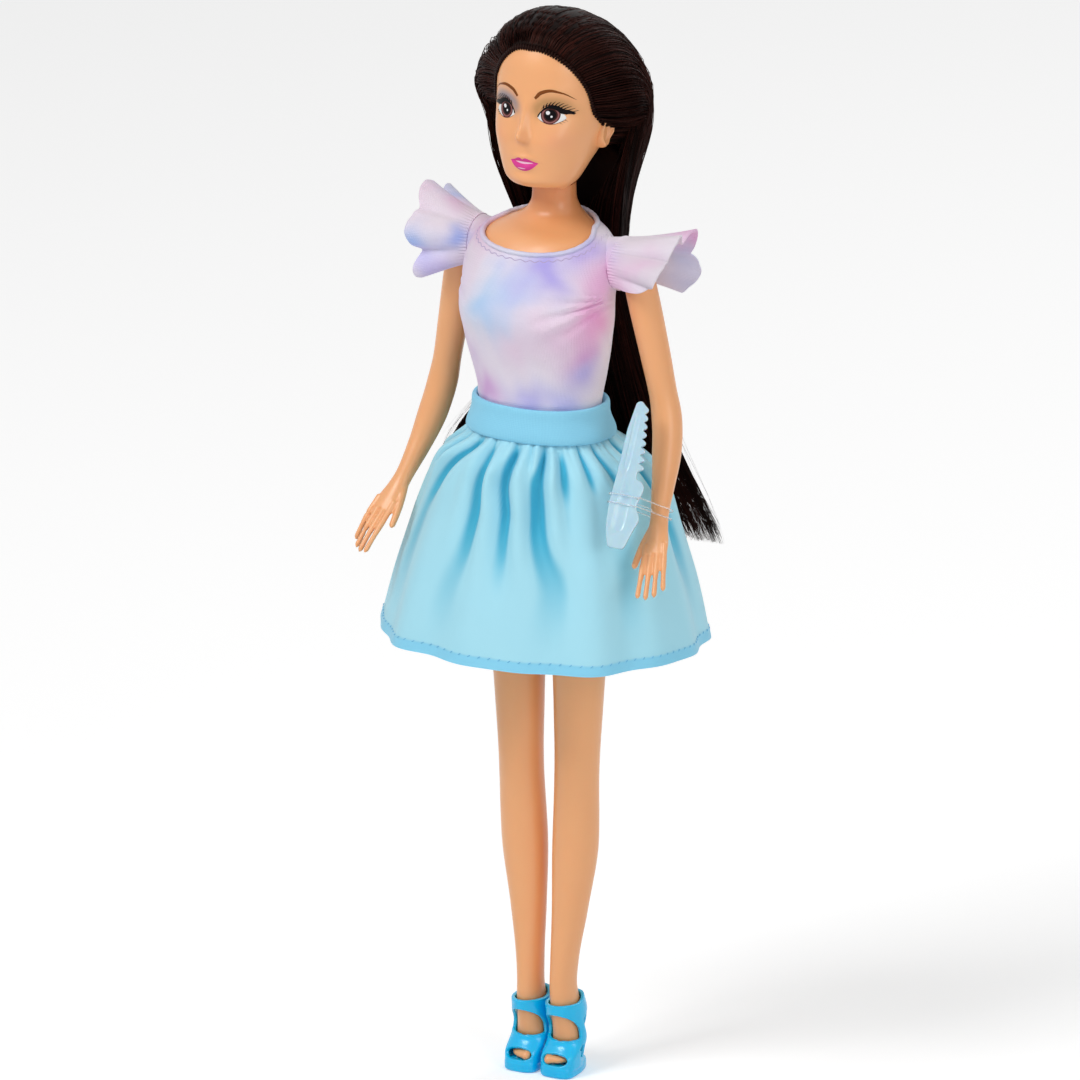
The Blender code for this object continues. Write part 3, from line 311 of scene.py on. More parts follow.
def toShader(tree, value, socket):
    tree.links.new(value, tree.nodes["Principled BSDF"].inputs[socket])


def objectPlace(tree):
    return addNode(tree, "ShaderNodeTexCoord").outputs["Object"]


def mathNode(tree, operation, *values):
    made = addNode(tree, "ShaderNodeMath", {"operation": operation})
    for socket, value in zip(made.inputs, values):
        setSocket(tree, socket, value)
    return made.outputs[0]


def mixColour(tree, share, first, second, mode="MIX"):
    made = addNode(tree, "ShaderNodeMix", {"data_type": "RGBA", "blend_type": mode})
    for socket, value in zip((made.inputs[0], made.inputs[6], made.inputs[7]), (share, first, second)):
        setSocket(tree, socket, value)
    return made.outputs[2]


def bumpTo(tree, height, depth):
    # height is 0 to 1 and depth its size in millimetres
    bump = addNode(tree, "ShaderNodeBump", Height=height, Distance=depth * mm, Strength=1.0)
    toShader(tree, bump.outputs["Normal"], "Normal")


def noiseOut(tree, scale, detail=3.0, roughness=0.5, vector=None):
    made = addNode(tree, "ShaderNodeTexNoise", None, Vector=vector or objectPlace(tree),
                   Scale=scale, Detail=detail, Roughness=roughness)
    return made.outputs["Fac"]


def ranged(tree, value, low, high, start=0.0, end=1.0, kind="LINEAR"):
    # the value's way from start to end becomes the way from low to high
    made = addNode(tree, "ShaderNodeMapRange", {"interpolation_type": kind}, Value=value,
                   From_Min=start, From_Max=end, To_Min=low, To_Max=high)
    return made.outputs[0]


def attributeOf(tree, name, output="Fac"):
    return addNode(tree, "ShaderNodeAttribute", {"attribute_name": name}).outputs[output]


def variedRoughness(tree, scale, low, high):
    toShader(tree, ranged(tree, noiseOut(tree, scale), low, high), "Roughness")


def mottle(tree, scale, detail, first, second):
    # two close colours in soft blotches
    toShader(tree, mixColour(tree, noiseOut(tree, scale, detail), (*first, 1), (*second, 1)), "Base Color")


# Camera, floor and light

viewOf = {"azimuth": 30.0, "elevation": 17.0, "distance": 7.83, "lens": 1000.0,
          "look": (-0.00026, 0.0, 0.1459)}


def makeCamera():
    a, e = math.radians(viewOf["azimuth"]), math.radians(viewOf["elevation"])
    back = Vector((math.sin(a) * math.cos(e), -math.cos(a) * math.cos(e), math.sin(e)))
    data = bpy.data.cameras.new("camera")
    data.lens, data.sensor_width = viewOf["lens"], 36.0
    camera = bpy.data.objects.new("camera", data)
    scene.collection.objects.link(camera)
    camera.location = Vector(viewOf["look"]) + back * viewOf["distance"]
    camera.rotation_euler = back.to_track_quat("Z", "Y").to_euler()
    scene.camera = camera


studioOf = {"shade": 0.43, "glow": 0.57, "floorGlow": 0.3, "floorRadius": 2500, "aim": (0, 0, 0.15)}
lampsOf = (  # name, place, size, power
    ("key", (-0.4, -0.8, 1.15), 0.5, 7.6),
    ("fill", (1.0, -0.55, 0.55), 0.55, 3.0),
    ("back", (0.3, 1.1, 0.95), 0.6, 3.0),
)


def seenBy(tree):
    # 1 for the rays that show the background: camera, glossy and transmission rays
    path = addNode(tree, "ShaderNodeLightPath").outputs
    seen = mathNode(tree, "MAXIMUM", path["Is Camera Ray"], path["Is Glossy Ray"])
    return mathNode(tree, "MAXIMUM", seen, path["Is Transmission Ray"])


def makeStage():
    world = bpy.data.worlds.new("studio")
    scene.world = world
    world.use_nodes = True
    tree = world.node_tree
    strength = mathNode(tree, "MULTIPLY_ADD", seenBy(tree), studioOf["glow"], studioOf["shade"])
    background = tree.nodes["Background"]
    background.inputs["Color"].default_value = (1, 1, 1, 1)
    tree.links.new(strength, background.inputs["Strength"])
    for name, place, size, power in lampsOf:
        lamp = bpy.data.lights.new(name, "AREA")
        lamp.size, lamp.energy = size, power
        made = bpy.data.objects.new(name, lamp)
        scene.collection.objects.link(made)
        made.location = place
        toward = Vector(studioOf["aim"]) - Vector(place)
        made.rotation_euler = toward.to_track_quat("-Z", "Y").to_euler()
    turn, radius = roundTurns(96), studioOf["floorRadius"]
    ring = np.stack([radius * np.cos(turn), radius * np.sin(turn), 0 * turn - 0.02], -1)
    floor = meshObject("floor", ring, [list(range(96))])
    floor.data.transform(Matrix.Scale(mm, 4))
    made, tree = newMaterial("floor paper", (0.9, 0.9, 0.9), 0.9, Specular_IOR_Level=0.0,
                             Emission_Color=(1, 1, 1, 1))
    glow = mathNode(tree, "MULTIPLY", seenBy(tree), studioOf["floorGlow"])
    toShader(tree, glow, "Emission Strength")
    floor.data.materials.append(made)


makeCamera()
makeStage()
print("camera and stage ready")


# Body skin: torso, legs and arms

# height share of 102.7 mm, half width share of 20.5 mm, front and back shares of 18 mm
torsoRows = (
    (0.0, 0.195, 0.111, 0.556), (0.039, 0.44, 0.25, 0.722), (0.107, 0.9, 0.417, 0.889),
    (0.175, 1.024, 0.517, 0.917), (0.253, 0.976, 0.583, 0.833), (0.321, 0.868, 0.611, 0.722),
    (0.38, 0.78, 0.611, 0.639), (0.419, 0.751, 0.611, 0.611), (0.458, 0.776, 0.628, 0.622),
    (0.536, 0.859, 0.7, 0.656), (0.623, 0.946, 0.85, 0.683), (0.701, 0.985, 0.93, 0.711),
    (0.769, 0.985, 0.815, 0.739), (0.818, 0.976, 0.678, 0.767), (0.857, 0.927, 0.544, 0.778),
    (0.886, 0.78, 0.378, 0.778), (0.91, 0.512, 0.111, 0.767), (0.935, 0.341, -0.033, 0.739),
    (0.964, 0.278, -0.072, 0.706), (1.0, 0.273, -0.078, 0.7),
)
torsoOf = {"height": neckTopZ - crotchZ, "halfWidth": 20.5, "depth": 18.0, "bustSwell": 1.2,
           "bustSide": 8.8, "bustReach": 6.5, "bustShare": 0.695, "power": 0.92, "rows": 150, "columns": 120,
           "boneZ": 228.6, "boneWidth": 0.9, "boneRise": 0.18}

skinOf = {"colour": (0.89, 0.43, 0.188), "roughness": 0.36, "coat": 0.12}


def skinMaterial(name="tan vinyl", painted=False, shaded=False):
    made, tree = newMaterial(name, skinOf["colour"], skinOf["roughness"], Coat_Weight=skinOf["coat"],
                             Coat_Roughness=0.22, Subsurface_Weight=0.12, Subsurface_Scale=0.0018,
                             Subsurface_Radius=(1.0, 0.45, 0.25))
    tone = ranged(tree, noiseOut(tree, 55.0, 2.0), 0.0, 0.35)
    base = (*skinOf["colour"], 1)
    if painted:
        base = attributeOf(tree, "paint", "Color")
    warm = mixColour(tree, tone, base, (0.93, 0.8, 0.72, 1), "MULTIPLY")
    if shaded:
        # painted shade under the chin: the neck is darkened more and more from just above the collarbones up
        # to the head
        height = addNode(tree, "ShaderNodeSeparateXYZ", None, Vector=objectPlace(tree)).outputs[2]
        under = ranged(tree, height, 0.0, 0.62, 0.2285, 0.2385, "SMOOTHSTEP")
        warm = mixColour(tree, under, warm, (0.72, 0.53, 0.4, 1), "MULTIPLY")
    toShader(tree, warm, "Base Color")
    variedRoughness(tree, 240.0, 0.3, 0.42)
    bumpTo(tree, noiseOut(tree, 2600.0, 2.0), 0.008)
    return made


skinVinyl = skinMaterial()


def torsoPoints(heights, turns, lift=0.0):
    # level superellipse rows through torsoRows, with two soft swells in front;
    # heights and turns are grids of the same shape, turn 0 is straight ahead (-Y)
    share = (heights - crotchZ) / torsoOf["height"]
    wide, front, back = np.moveaxis(smoothRows(torsoRows, share), -1, 0)
    halfWidth = wide * torsoOf["halfWidth"] + lift
    frontY = -front * torsoOf["depth"] - lift
    backY = back * torsoOf["depth"] + lift
    ahead = -np.cos(turns)
    x = halfWidth * signedPower(np.sin(turns), torsoOf["power"])
    y = (frontY + backY) / 2 + (backY - frontY) / 2 * signedPower(ahead, torsoOf["power"])
    bustZ = crotchZ + torsoOf["height"] * torsoOf["bustShare"]
    for side in (-1, 1):
        far = ((x - side * torsoOf["bustSide"]) ** 2 + (heights - bustZ) ** 2) / torsoOf["bustReach"] ** 2
        y += np.minimum(ahead, 0) * torsoOf["bustSwell"] * np.exp(-far)
    return np.stack([x, y, heights], -1)


def turnedParts(profile, centre, axis, sides):
    # a turned body: profile of (along, radius) round an axis, side and up square to it
    axis = np.array(axis, float)
    side = np.array((0.0, 1.0, 0.0) if abs(axis[1]) < 0.5 else (1.0, 0.0, 0.0))
    up = np.cross(axis, side)
    turn = roundTurns(sides)[None, :, None]
    along, radius = np.array(profile, float).T[:, :, None, None]
    points = np.array(centre, float) + axis * along + radius * (side * np.cos(turn) + up * np.sin(turn))
    return closedLoft(points)


hipOf = {"innerX": 4.6, "width": 17.2, "radius": 12.0, "room": 15.5, "height": 148.0}


def makeTorso():
    grid = gridOf(np.linspace(crotchZ, neckTopZ, torsoOf["rows"]), roundTurns(torsoOf["columns"]))
    points = torsoPoints(*grid)
    # faint collarbones: two low ridges that rise from the middle to the shoulders
    x, z = points[..., 0], points[..., 2]
    bone = bell(z - torsoOf["boneZ"] - 0.1 * np.abs(x), torsoOf["boneWidth"]) * softStep(np.abs(x), 1.0, 4.0)
    bone = bone * (np.cos(grid[1]) > 0) * (1 - softStep(np.abs(x), 11.0, 15.0))
    points[..., 1] -= torsoOf["boneRise"] * bone
    torso = outward(meshObject("torsoSkin", *closedLoft(points)))
    rooms = []
    for side in (-1, 1):
        end = hipOf["width"] + 8
        room = ((0, 0.01), (0, hipOf["radius"]), (hipOf["width"] * 0.35, hipOf["room"]),
                (end, hipOf["room"]), (end, 0.01))
        shape = turnedParts(room, (side * hipOf["innerX"], axisY, hipOf["height"]), (side, 0, 0), 64)
        rooms.append(meshObject("hipRoom", *shape))
    cut(torso, rooms)
    finishPiece(torso, skinMaterial("tan neck vinyl with painted chin shade", shaded=True), "torso",
                ("torso_front", "torso_back"), 40)


# height share of 148 mm, centre x share of 9.3 mm, half width, front and back shares of 7.25 mm
legRows = (
    (1.0, 1.385, 1.01, 0.9, 2.1), (0.946, 1.375, 1.03, 0.72, 1.98), (0.878, 1.235, 1.06, 0.55, 1.8),
    (0.79, 1.0, 1.0, 0.42, 1.62), (0.68, 0.95, 0.9, 0.3, 1.5), (0.56, 0.9, 0.815, 0.21, 1.42),
    (0.432, 0.83, 0.845, 0.17, 1.52), (0.3, 0.67, 0.64, 0.1, 1.32), (0.205, 0.555, 0.47, 0.17, 1.12),
    (0.165, 0.53, 0.435, 0.21, 1.1), (0.14, 0.54, 0.45, 0.2, 1.2), (0.115, 0.555, 0.47, 0.13, 1.37),
    (0.085, 0.57, 0.49, -0.02, 1.28), (0.06, 0.58, 0.53, -0.18, 1.04), (0.038, 0.585, 0.535, -0.3, 0.78),
    (0.0237, 0.585, 0.48, -0.26, 0.62),
)
legOf = {"height": 148.0, "centreX": 9.3, "thigh": 7.25, "kneeZ": 83.0, "kneeRise": 0.55, "lowZ": 3.6,
         "rows": 190, "columns": 72, "voxel": 0.43}
hipProfile = ((0.3, 0.01), (0.3, 10.3), (5.2, 11.6), (11.2, 12.0), (14.8, 10.1), (16.7, 6.0), (17.3, 0.01))


def legPoints(heights, turns, side, lift=0.0):
    # level ellipse rows through legRows; heights and turns are grids of one shape
    centre, wide, front, back = np.moveaxis(smoothRows(legRows, heights / legOf["height"]), -1, 0)
    frontY, backY = -front * legOf["thigh"] - lift, back * legOf["thigh"] + lift
    x = side * centre * legOf["centreX"] + (wide * legOf["thigh"] + lift) * np.sin(turns)
    y = (frontY + backY) / 2 - (backY - frontY) / 2 * np.cos(turns)
    return np.stack([x, y, heights], -1)


footOf = {"toeSpread": (2.05, 0.78, -0.3, -1.28, -2.12), "toeRadius": (1.25, 1.0, 0.96, 0.92, 0.84),
          "toeReach": (0.9, 0.8, 0.5, 0.0, -0.7), "ballX": 5.44, "toeZ": 4.7}


def makeLegs():
    for name, side in bothSides:
        heights, turns = gridOf(np.linspace(legOf["lowZ"], legOf["height"], legOf["rows"]),
                                roundTurns(legOf["columns"]))
        points = legPoints(heights, turns, side)
        # the kneecap stands a little proud in front
        x = points[..., 0] - side * 0.87 * legOf["centreX"]
        knee = np.exp(-((heights - legOf["kneeZ"]) / 5.0) ** 2 - (x / 3.2) ** 2)
        points[..., 1] -= legOf["kneeRise"] * knee * (np.cos(turns) > 0)
        hipPlace = (side * hipOf["innerX"], axisY, hipOf["height"])
        parts = [closedLoft(points), turnedParts(hipProfile, hipPlace, (side, 0, 0), 48)]
        # five toes, the big one on the inner side, as short drops
        for spread, radius, reach in zip(footOf["toeSpread"], footOf["toeRadius"], footOf["toeReach"]):
            along = np.linspace(0, math.pi, 9)[1:-1]
            profile = [(-math.cos(t) * radius * 1.45, math.sin(t) * radius) for t in along]
            middle = (side * (footOf["ballX"] - spread), -0.6 - reach, footOf["toeZ"])
            parts.append(turnedParts(profile, middle, (0, -0.86, -0.51), 20))
        leg = outward(joinParts(name + "LegSkin", parts))
        remesh(leg, legOf["voxel"], 4)
        finishPiece(leg, skinVinyl, name + "_leg", (name + "_leg",))


# place along the arm (0 shoulder, 1 elbow, 2 wrist), half width and half depth in millimetres
armRows = (
    (0.0, 4.02, 4.18), (0.25, 4.22, 4.3), (0.6, 3.98, 4.06), (0.9, 3.69, 3.81), (1.12, 3.98, 4.06),
    (1.35, 3.9, 4.02), (1.7, 3.03, 3.03), (2.0, 2.42, 2.22), (2.16, 2.75, 1.9), (2.34, 3.3, 1.72),
    (2.47, 3.25, 1.4),
)
armOf = {"shoulderX": 25.8, "upper": 37.8, "fore": 29.7, "hand": 23.8, "upperLean": -3.7, "foreLean": 24.5,
         "handLean": 44.0, "handSplay": 14.5, "elbowTurn": 0.43, "finger": 0.8, "fingerStep": 1.76,
         "thumb": 0.95, "palmHalfWidth": 3.4, "wristX": 38.3, "end": 2.47, "rows": 110,
         "columns": 44, "ball": 5.0, "peg": ((0, 2.5), (-9.5, 2.5)), "voxel": 0.275}
fingerShapes = ((0.62, 0.02), (0.63, 0.05), (0.59, 0.08), (0.5, 0.11))  # reach and curl, shares of the hand
armShare = (armOf["wristX"] - armOf["shoulderX"]) / (armOf["upper"] + armOf["fore"])
armOf["splay"] = math.degrees(math.asin(armShare))


def armDirection(side, splay, lean):
    splay, lean = math.radians(splay), math.radians(lean)
    return np.array([side * math.sin(splay), -math.sin(lean) * math.cos(splay),
                     -math.cos(lean) * math.cos(splay)])


def armPlaces(side):
    shoulder = np.array([side * armOf["shoulderX"], axisY, shoulderZ])
    turn = armOf["elbowTurn"]
    elbow = shoulder + armDirection(side, armOf["splay"] + turn, armOf["upperLean"]) * armOf["upper"]
    wrist = elbow + armDirection(side, armOf["splay"] - turn, armOf["foreLean"]) * armOf["fore"]
    tip = wrist + armDirection(side, armOf["handSplay"], armOf["handLean"]) * armOf["hand"]
    return np.array([shoulder, elbow, wrist, tip])


def makeArms():
    for name, side in bothSides:
        places = armPlaces(side)
        table = [(index, *place) for index, place in enumerate(places)]
        along = np.linspace(0, armOf["end"], armOf["rows"])
        centre = smoothRows(table, along)
        ahead = unit(smoothRows(table, along + 0.08) - smoothRows(table, np.maximum(along - 0.08, 0)))
        across = np.array([side, 0.0, 0.0])
        wide = unit(across - ahead * (ahead @ across)[:, None])
        deep = np.cross(ahead, wide)
        size = smoothRows(armRows, along)
        turn = roundTurns(armOf["columns"])[None, :, None]
        ring = (wide[:, None] * np.cos(turn) * size[:, None, :1]
                + deep[:, None] * np.sin(turn) * size[:, None, 1:])
        parts = [closedLoft(centre[:, None] + ring)]
        along = np.linspace(0, math.pi, 17)[1:-1]
        ball = [(-armOf["ball"] * math.cos(t), armOf["ball"] * math.sin(t)) for t in along]
        parts.append(turnedParts(ball, places[0], (1, 0, 0), 40))
        parts.append(turnedParts(armOf["peg"], places[0], (side, 0, 0), 24))
        # fingers fan from the knuckles and curl downward, each a tapering tube with a round tip
        hand = places[3] - places[2]
        hand /= np.linalg.norm(hand)
        wide = across - hand * (hand @ across)
        wide /= np.linalg.norm(wide)
        down = np.array([0.0, 0.0, -1.0])
        down -= hand * (hand @ down)
        down /= np.linalg.norm(down)
        length, radius = armOf["hand"], armOf["finger"]
        step = np.linspace(0, 1, 18)
        tipRound = np.sqrt(np.clip(1 - ((step - 0.93) / 0.07).clip(0, 0.98) ** 2, 0, 1))
        paths, widths = [], []
        for finger, (reach, curl) in enumerate(fingerShapes):
            spread = (finger - 1.5) * armOf["fingerStep"]
            start = places[2] + hand * length * 0.34 + wide * spread * 0.96
            paths.append(start + hand * (length * (reach + 0.05) * step)[:, None]
                         + wide * (spread * 0.3 * step)[:, None]
                         + down * (length * curl * step ** 2)[:, None])
            joint = 1 + 0.07 * np.cos((step - 0.45) * 4 * math.pi)
            widths.append(radius * (1.08 - 0.26 * step) * joint * tipRound)
        inner = -wide
        root = places[2] + hand * length * 0.08 + inner * armOf["palmHalfWidth"] * 0.25 + down * 0.6
        bend = places[2] + hand * length * 0.36 + inner * armOf["palmHalfWidth"] * 1.3 + down * 0.6
        tip = places[2] + hand * length * 0.62 + inner * armOf["palmHalfWidth"] * 1.62 + down * 0.7
        t = step[:, None]
        paths.append(root * (1 - t) ** 2 + 2 * bend * t * (1 - t) + tip * t ** 2)
        widths.append(armOf["thumb"] * (1.35 - 0.5 * step) * tipRound)
        parts.append(tubeParts(np.array(paths), np.array(widths), 14))
        arm = outward(joinParts(name + "ArmSkin", parts))
        remesh(arm, armOf["voxel"], 4)
        finishPiece(arm, skinVinyl, name + "_arm", (name + "_arm",))


makeTorso()
makeLegs()
makeArms()
print("body skin ready")


# Head with its face

# height share of 45.5 mm, half width share of 15 mm, front and back shares of 18 mm
headRows = (
    (0.0, 0.42, 0.41, 0.3), (0.022, 0.5, 0.66, 0.365), (0.044, 0.58, 0.825, 0.44),
    (0.088, 0.668, 0.915, 0.53), (0.154, 0.762, 0.935, 0.61), (0.22, 0.836, 0.96, 0.74),
    (0.308, 0.915, 0.975, 0.87), (0.396, 0.982, 0.93, 0.99), (0.505, 1.0, 0.885, 1.0),
    (0.615, 0.995, 0.87, 0.98), (0.725, 0.96, 0.85, 0.9), (0.835, 0.85, 0.75, 0.74),
    (0.923, 0.64, 0.56, 0.53), (0.98, 0.34, 0.27, 0.28), (1.0, 0.02, 0.02, 0.02),
)
headOf = {"height": 45.5, "halfWidth": 15.0, "depth": 18.0, "centreY": 8.0, "power": 0.95,
          "chinAhead": 6.5, "napeIn": 4.6, "rows": 176, "columns": 250}
neckSocket = ((-1.5, 0.01), (-1.5, 2.3), (0.7, 2.3), (0.7, 3.7), (2.6, 3.7), (4.6, 2.6), (4.6, 0.01))

# soft swells of the face: side place, height over the head's base, spread sideways, spread up, swell
faceForms = (
    (0.0, 16.5, 1.55, 1.8, 2.85), (0.0, 19.6, 1.25, 3.2, 1.6), (0.0, 24.0, 1.6, 3.2, 0.45),
    (1.35, 15.6, 0.85, 0.85, 0.5), (-1.35, 15.6, 0.85, 0.85, 0.5), (0.0, 13.6, 1.0, 1.1, -0.25),
    (0.0, 10.4, 3.0, 0.75, 0.62), (0.0, 7.8, 2.7, 1.0, 0.8), (0.0, 8.95, 4.0, 0.32, -0.42),
    (0.0, 5.8, 2.8, 0.9, -0.28), (0.0, 3.9, 3.0, 2.1, 0.75),
    (6.6, 22.2, 3.1, 2.4, -0.85), (-6.6, 22.2, 3.1, 2.4, -0.85),
    (6.7, 22.3, 2.6, 1.7, 0.45), (-6.7, 22.3, 2.6, 1.7, 0.45),
    (6.9, 28.3, 4.2, 1.5, 0.3), (-6.9, 28.3, 4.2, 1.5, 0.3),
    (9.3, 15.6, 4.0, 4.6, 0.95), (-9.3, 15.6, 4.0, 4.6, 0.95),
)


def headSection(heights):
    # half width, front and back depth and middle; the middle comes forward towards the chin
    share = (heights - headBaseZ) / headOf["height"]
    wide, front, back = np.moveaxis(smoothRows(headRows, share), -1, 0)
    ahead = headOf["chinAhead"] * (1 - softStep(share, 0.06, 0.4))
    back = back * headOf["depth"] + ahead - headOf["napeIn"] * softStep(-share, -0.3, -0.08)
    return wide * headOf["halfWidth"], front * headOf["depth"] - ahead, back, headOf["centreY"] - ahead


def faceSwell(x, z):
    # sum of the soft swells, each swell * exp(-(across / spread)^2 - (up / spread)^2)
    total = np.zeros(np.broadcast(x, z).shape)
    for across, up, wide, tall, amount in faceForms:
        total += amount * np.exp(-((x - across) / wide) ** 2 - ((z - headBaseZ - up) / tall) ** 2)
    return total


def headPoints(heights, turns, swell=True):
    # level superellipse rows; turn 0 looks ahead, and the face has its forms
    halfWidth, front, back, middle = headSection(heights)
    ahead = np.cos(turns)
    x = halfWidth * signedPower(np.sin(turns), headOf["power"])
    y = middle - np.where(ahead > 0, front, back) * signedPower(ahead, headOf["power"])
    if swell:
        y -= faceSwell(x, heights) * softStep(ahead, 0.0, 0.25)
    return np.stack([x, y, heights], -1)


def faceY(x, z):
    # the face's own y at a place, from the same section and swells
    halfWidth, front, _, middle = headSection(z)
    side = (np.abs(x) / halfWidth).clip(0, 0.999) ** (1 / headOf["power"])
    ahead = np.sqrt(1 - side * side) ** headOf["power"]
    return middle - front * ahead - faceSwell(x, z)


shadowOf = {"right": (0.16, 0.19, 0.27), "left": (0.33, 0.175, 0.045)}


def facePaint(points):
    # skin tone with a soft blush, eye shadow paint round each eye, and a painted shadow under the nose,
    # above the lip
    x, y, z = points[:, 0], points[:, 1], points[:, 2] - headBaseZ
    paint = np.tile(np.array(skinOf["colour"]), (len(x), 1))
    front = softStep(-y, -6.0, -1.0)

    def layer(colour, amount):
        nonlocal paint
        amount = (amount * front)[:, None]
        paint = paint * (1 - amount) + np.array(colour) * amount

    for side in (-1, 1):
        blush = np.exp(-((x - side * 8.6) / 3.6) ** 2 - ((z - 15.5) / 3.0) ** 2)
        layer((0.86, 0.36, 0.2), 0.4 * blush)
        across = (x - side * 6.9) * side
        lid = 24.6 - 0.075 * across ** 2
        shade = bell(z - lid - 0.7, 1.9) * np.exp(-(across / 5.0) ** 4)
        name = "left" if side > 0 else "right"
        layer(shadowOf[name], (0.82 if side < 0 else 0.66) * shade)
        corner = np.exp(-((across + 3.6) / 1.0) ** 2 - ((z - 22.6) / 1.9) ** 2)
        layer(shadowOf[name], 0.45 * corner)
    # painted shadow under the nose: a warm darker band just below its tip
    layer((0.66, 0.26, 0.12), 0.3 * np.exp(-(x / 2.2) ** 2 - ((z - 14.4) / 0.8) ** 2))
    return paint


def makeHead():
    # rows crowd towards the base and the top, columns towards the face
    even = np.linspace(0, 1, headOf["rows"])
    heights = headBaseZ + headOf["height"] * (even + 0.035 * np.sin(even * 2 * math.pi))
    base = np.linspace(-math.pi, math.pi, headOf["columns"], endpoint=False)
    grid = gridOf(heights, base - 0.55 * np.sin(base))
    points = headPoints(*grid)
    head = outward(meshObject("headSkin", *closedLoft(points)))
    # the neck's socket, open below
    socket = meshObject("socket", *turnedParts(neckSocket, (0, 7.0, neckTopZ), (0, 0, 1), 40))
    cut(head, [socket])
    addColour(head, "paint", facePaint(vertexPlaces(head)))
    finishPiece(head, skinMaterial("painted tan vinyl", True), "head", ("head",))


earOf = {"x": 13.7, "y": 8.3, "z": 15.0, "halfHeight": 4.5, "halfWidth": 2.9, "rim": 2.0, "tilt": 0.2}


def makeEars():
    # a dome over a disc: rim near its edge, a bowl inside, a lobe below; its foot is in the head
    for name, side in bothSides:
        share, turn = gridOf(np.linspace(0, 1, 40), roundTurns(72))
        up, back = share * np.sin(turn), share * np.cos(turn)
        rim = bell(share - 0.8, 0.13) * softStep(up * 0.9 - back * 0.35, -0.85, -0.3)
        ridge = bell(share - 0.46, 0.1) * softStep(back + up * 0.3, -0.1, 0.5) * 0.55
        lobe = bell(up + 0.72, 0.22) * 0.75
        foot = softStep(share, 0.9, 1.0)
        height = earOf["rim"] * (0.42 + 0.55 * rim + 0.4 * ridge + 0.35 * lobe) * (1 - foot) - 1.8 * foot
        narrow = 1 - 0.22 * softStep(-up, 0.1, 0.9)
        y = earOf["y"] + back * earOf["halfWidth"] * narrow + earOf["tilt"] * up * earOf["halfHeight"]
        z = headBaseZ + earOf["z"] + up * earOf["halfHeight"]
        x = side * (earOf["x"] + height + 0.35 * back)
        ear = outward(meshObject(name + "Ear", *closedLoft(np.stack([x, y, z], -1))))
        finishPiece(ear, skinVinyl, "head")


# Painted eyes, brows and lips: thin films that follow the face

eyeOf = {"inner": (3.45, 21.2), "outer": (10.2, 21.1), "lower": 1.5, "upper": 2.75, "irisX": 6.55,
         "irisZ": 21.95, "irisRadius": 2.35}


browRows = ((0.0, 2.6, 26.15), (0.25, 4.3, 27.85), (0.52, 6.7, 28.5), (0.78, 9.4, 27.75), (1.0, 11.9, 25.8))
lashPlaces = (0.2, 0.3, 0.4, 0.5, 0.6, 0.69, 0.77, 0.84, 0.91, 0.97)
lashOf = {"length": 0.95, "grow": 1.05, "lean": 112, "turn": 88, "width": 0.19, "lowWidth": 0.06}


def film(name, x, z, lift, material, closedRound=False):
    # a film over the face: a grid of (x, z) places at the face's y, less a small lift
    points = np.stack([x, faceY(x, z) - lift, z], -1)
    made = meshObject(name, points.reshape(-1, 3), gridFaces(*x.shape, closedRound))
    made.data.update()
    if sum(polygon.normal.y for polygon in made.data.polygons) > 0:
        made.data.flip_normals()
    thicken(made, 0.03)
    return finishPiece(made, material, "head")


def eyeEdges(t, side):
    # lower and upper lid heights along the eye, t from the inner corner to the outer one
    (x0, z0), (x1, z1) = eyeOf["inner"], eyeOf["outer"]
    x = x0 + (x1 - x0) * t
    line = z0 + (z1 - z0) * t + headBaseZ
    lower = line - eyeOf["lower"] * np.sin(math.pi * t) ** 0.75
    upper = line + eyeOf["upper"] * np.sin(math.pi * t ** 0.92) ** 0.7
    return side * x, lower, upper


def ribbon(x, z, halfWidth):
    # a ribbon along a line: line +- half width, square to it, as two columns of places
    dx, dz = np.gradient(x), np.gradient(z)
    length = np.maximum(np.hypot(dx, dz), 1e-9)
    shift = np.stack([-dz / length, dx / length], -1) * halfWidth[:, None]
    across = np.linspace(-1, 1, 5)[None, :]
    return x[:, None] + shift[:, :1] * across, z[:, None] + shift[:, 1:] * across


def strokes(name, lines, lift, material):
    # several ribbons as one film; each line is x, z, half width
    pieces, faces, start = [], [], 0
    for x, z, halfWidth in lines:
        gx, gz = ribbon(x, z, halfWidth)
        points = np.stack([gx, faceY(gx, gz) - lift, gz], -1)
        pieces.append(points.reshape(-1, 3))
        faces += gridFaces(*gx.shape, False, start).tolist()
        start += gx.size
    made = meshObject(name, np.concatenate(pieces), faces)
    shape = bmesh.new()
    shape.from_mesh(made.data)
    shape.normal_update()
    turned = [face for face in shape.faces if face.normal.y > 0]
    bmesh.ops.reverse_faces(shape, faces=turned)
    shape.to_mesh(made.data)
    shape.free()
    thicken(made, 0.03)
    return finishPiece(made, material, "head")


def filmMaterial(name, colour, roughness=0.32, second=None, scale=900.0):
    made, tree = newMaterial(name, colour, roughness, Specular_IOR_Level=0.06)
    mottle(tree, scale, 2.0, colour, second or tuple(0.82 * c for c in colour))
    return made


def lidPlace(t, side, lift):
    x, _, upper = eyeEdges(np.asarray(t), side)
    return x, upper + lift


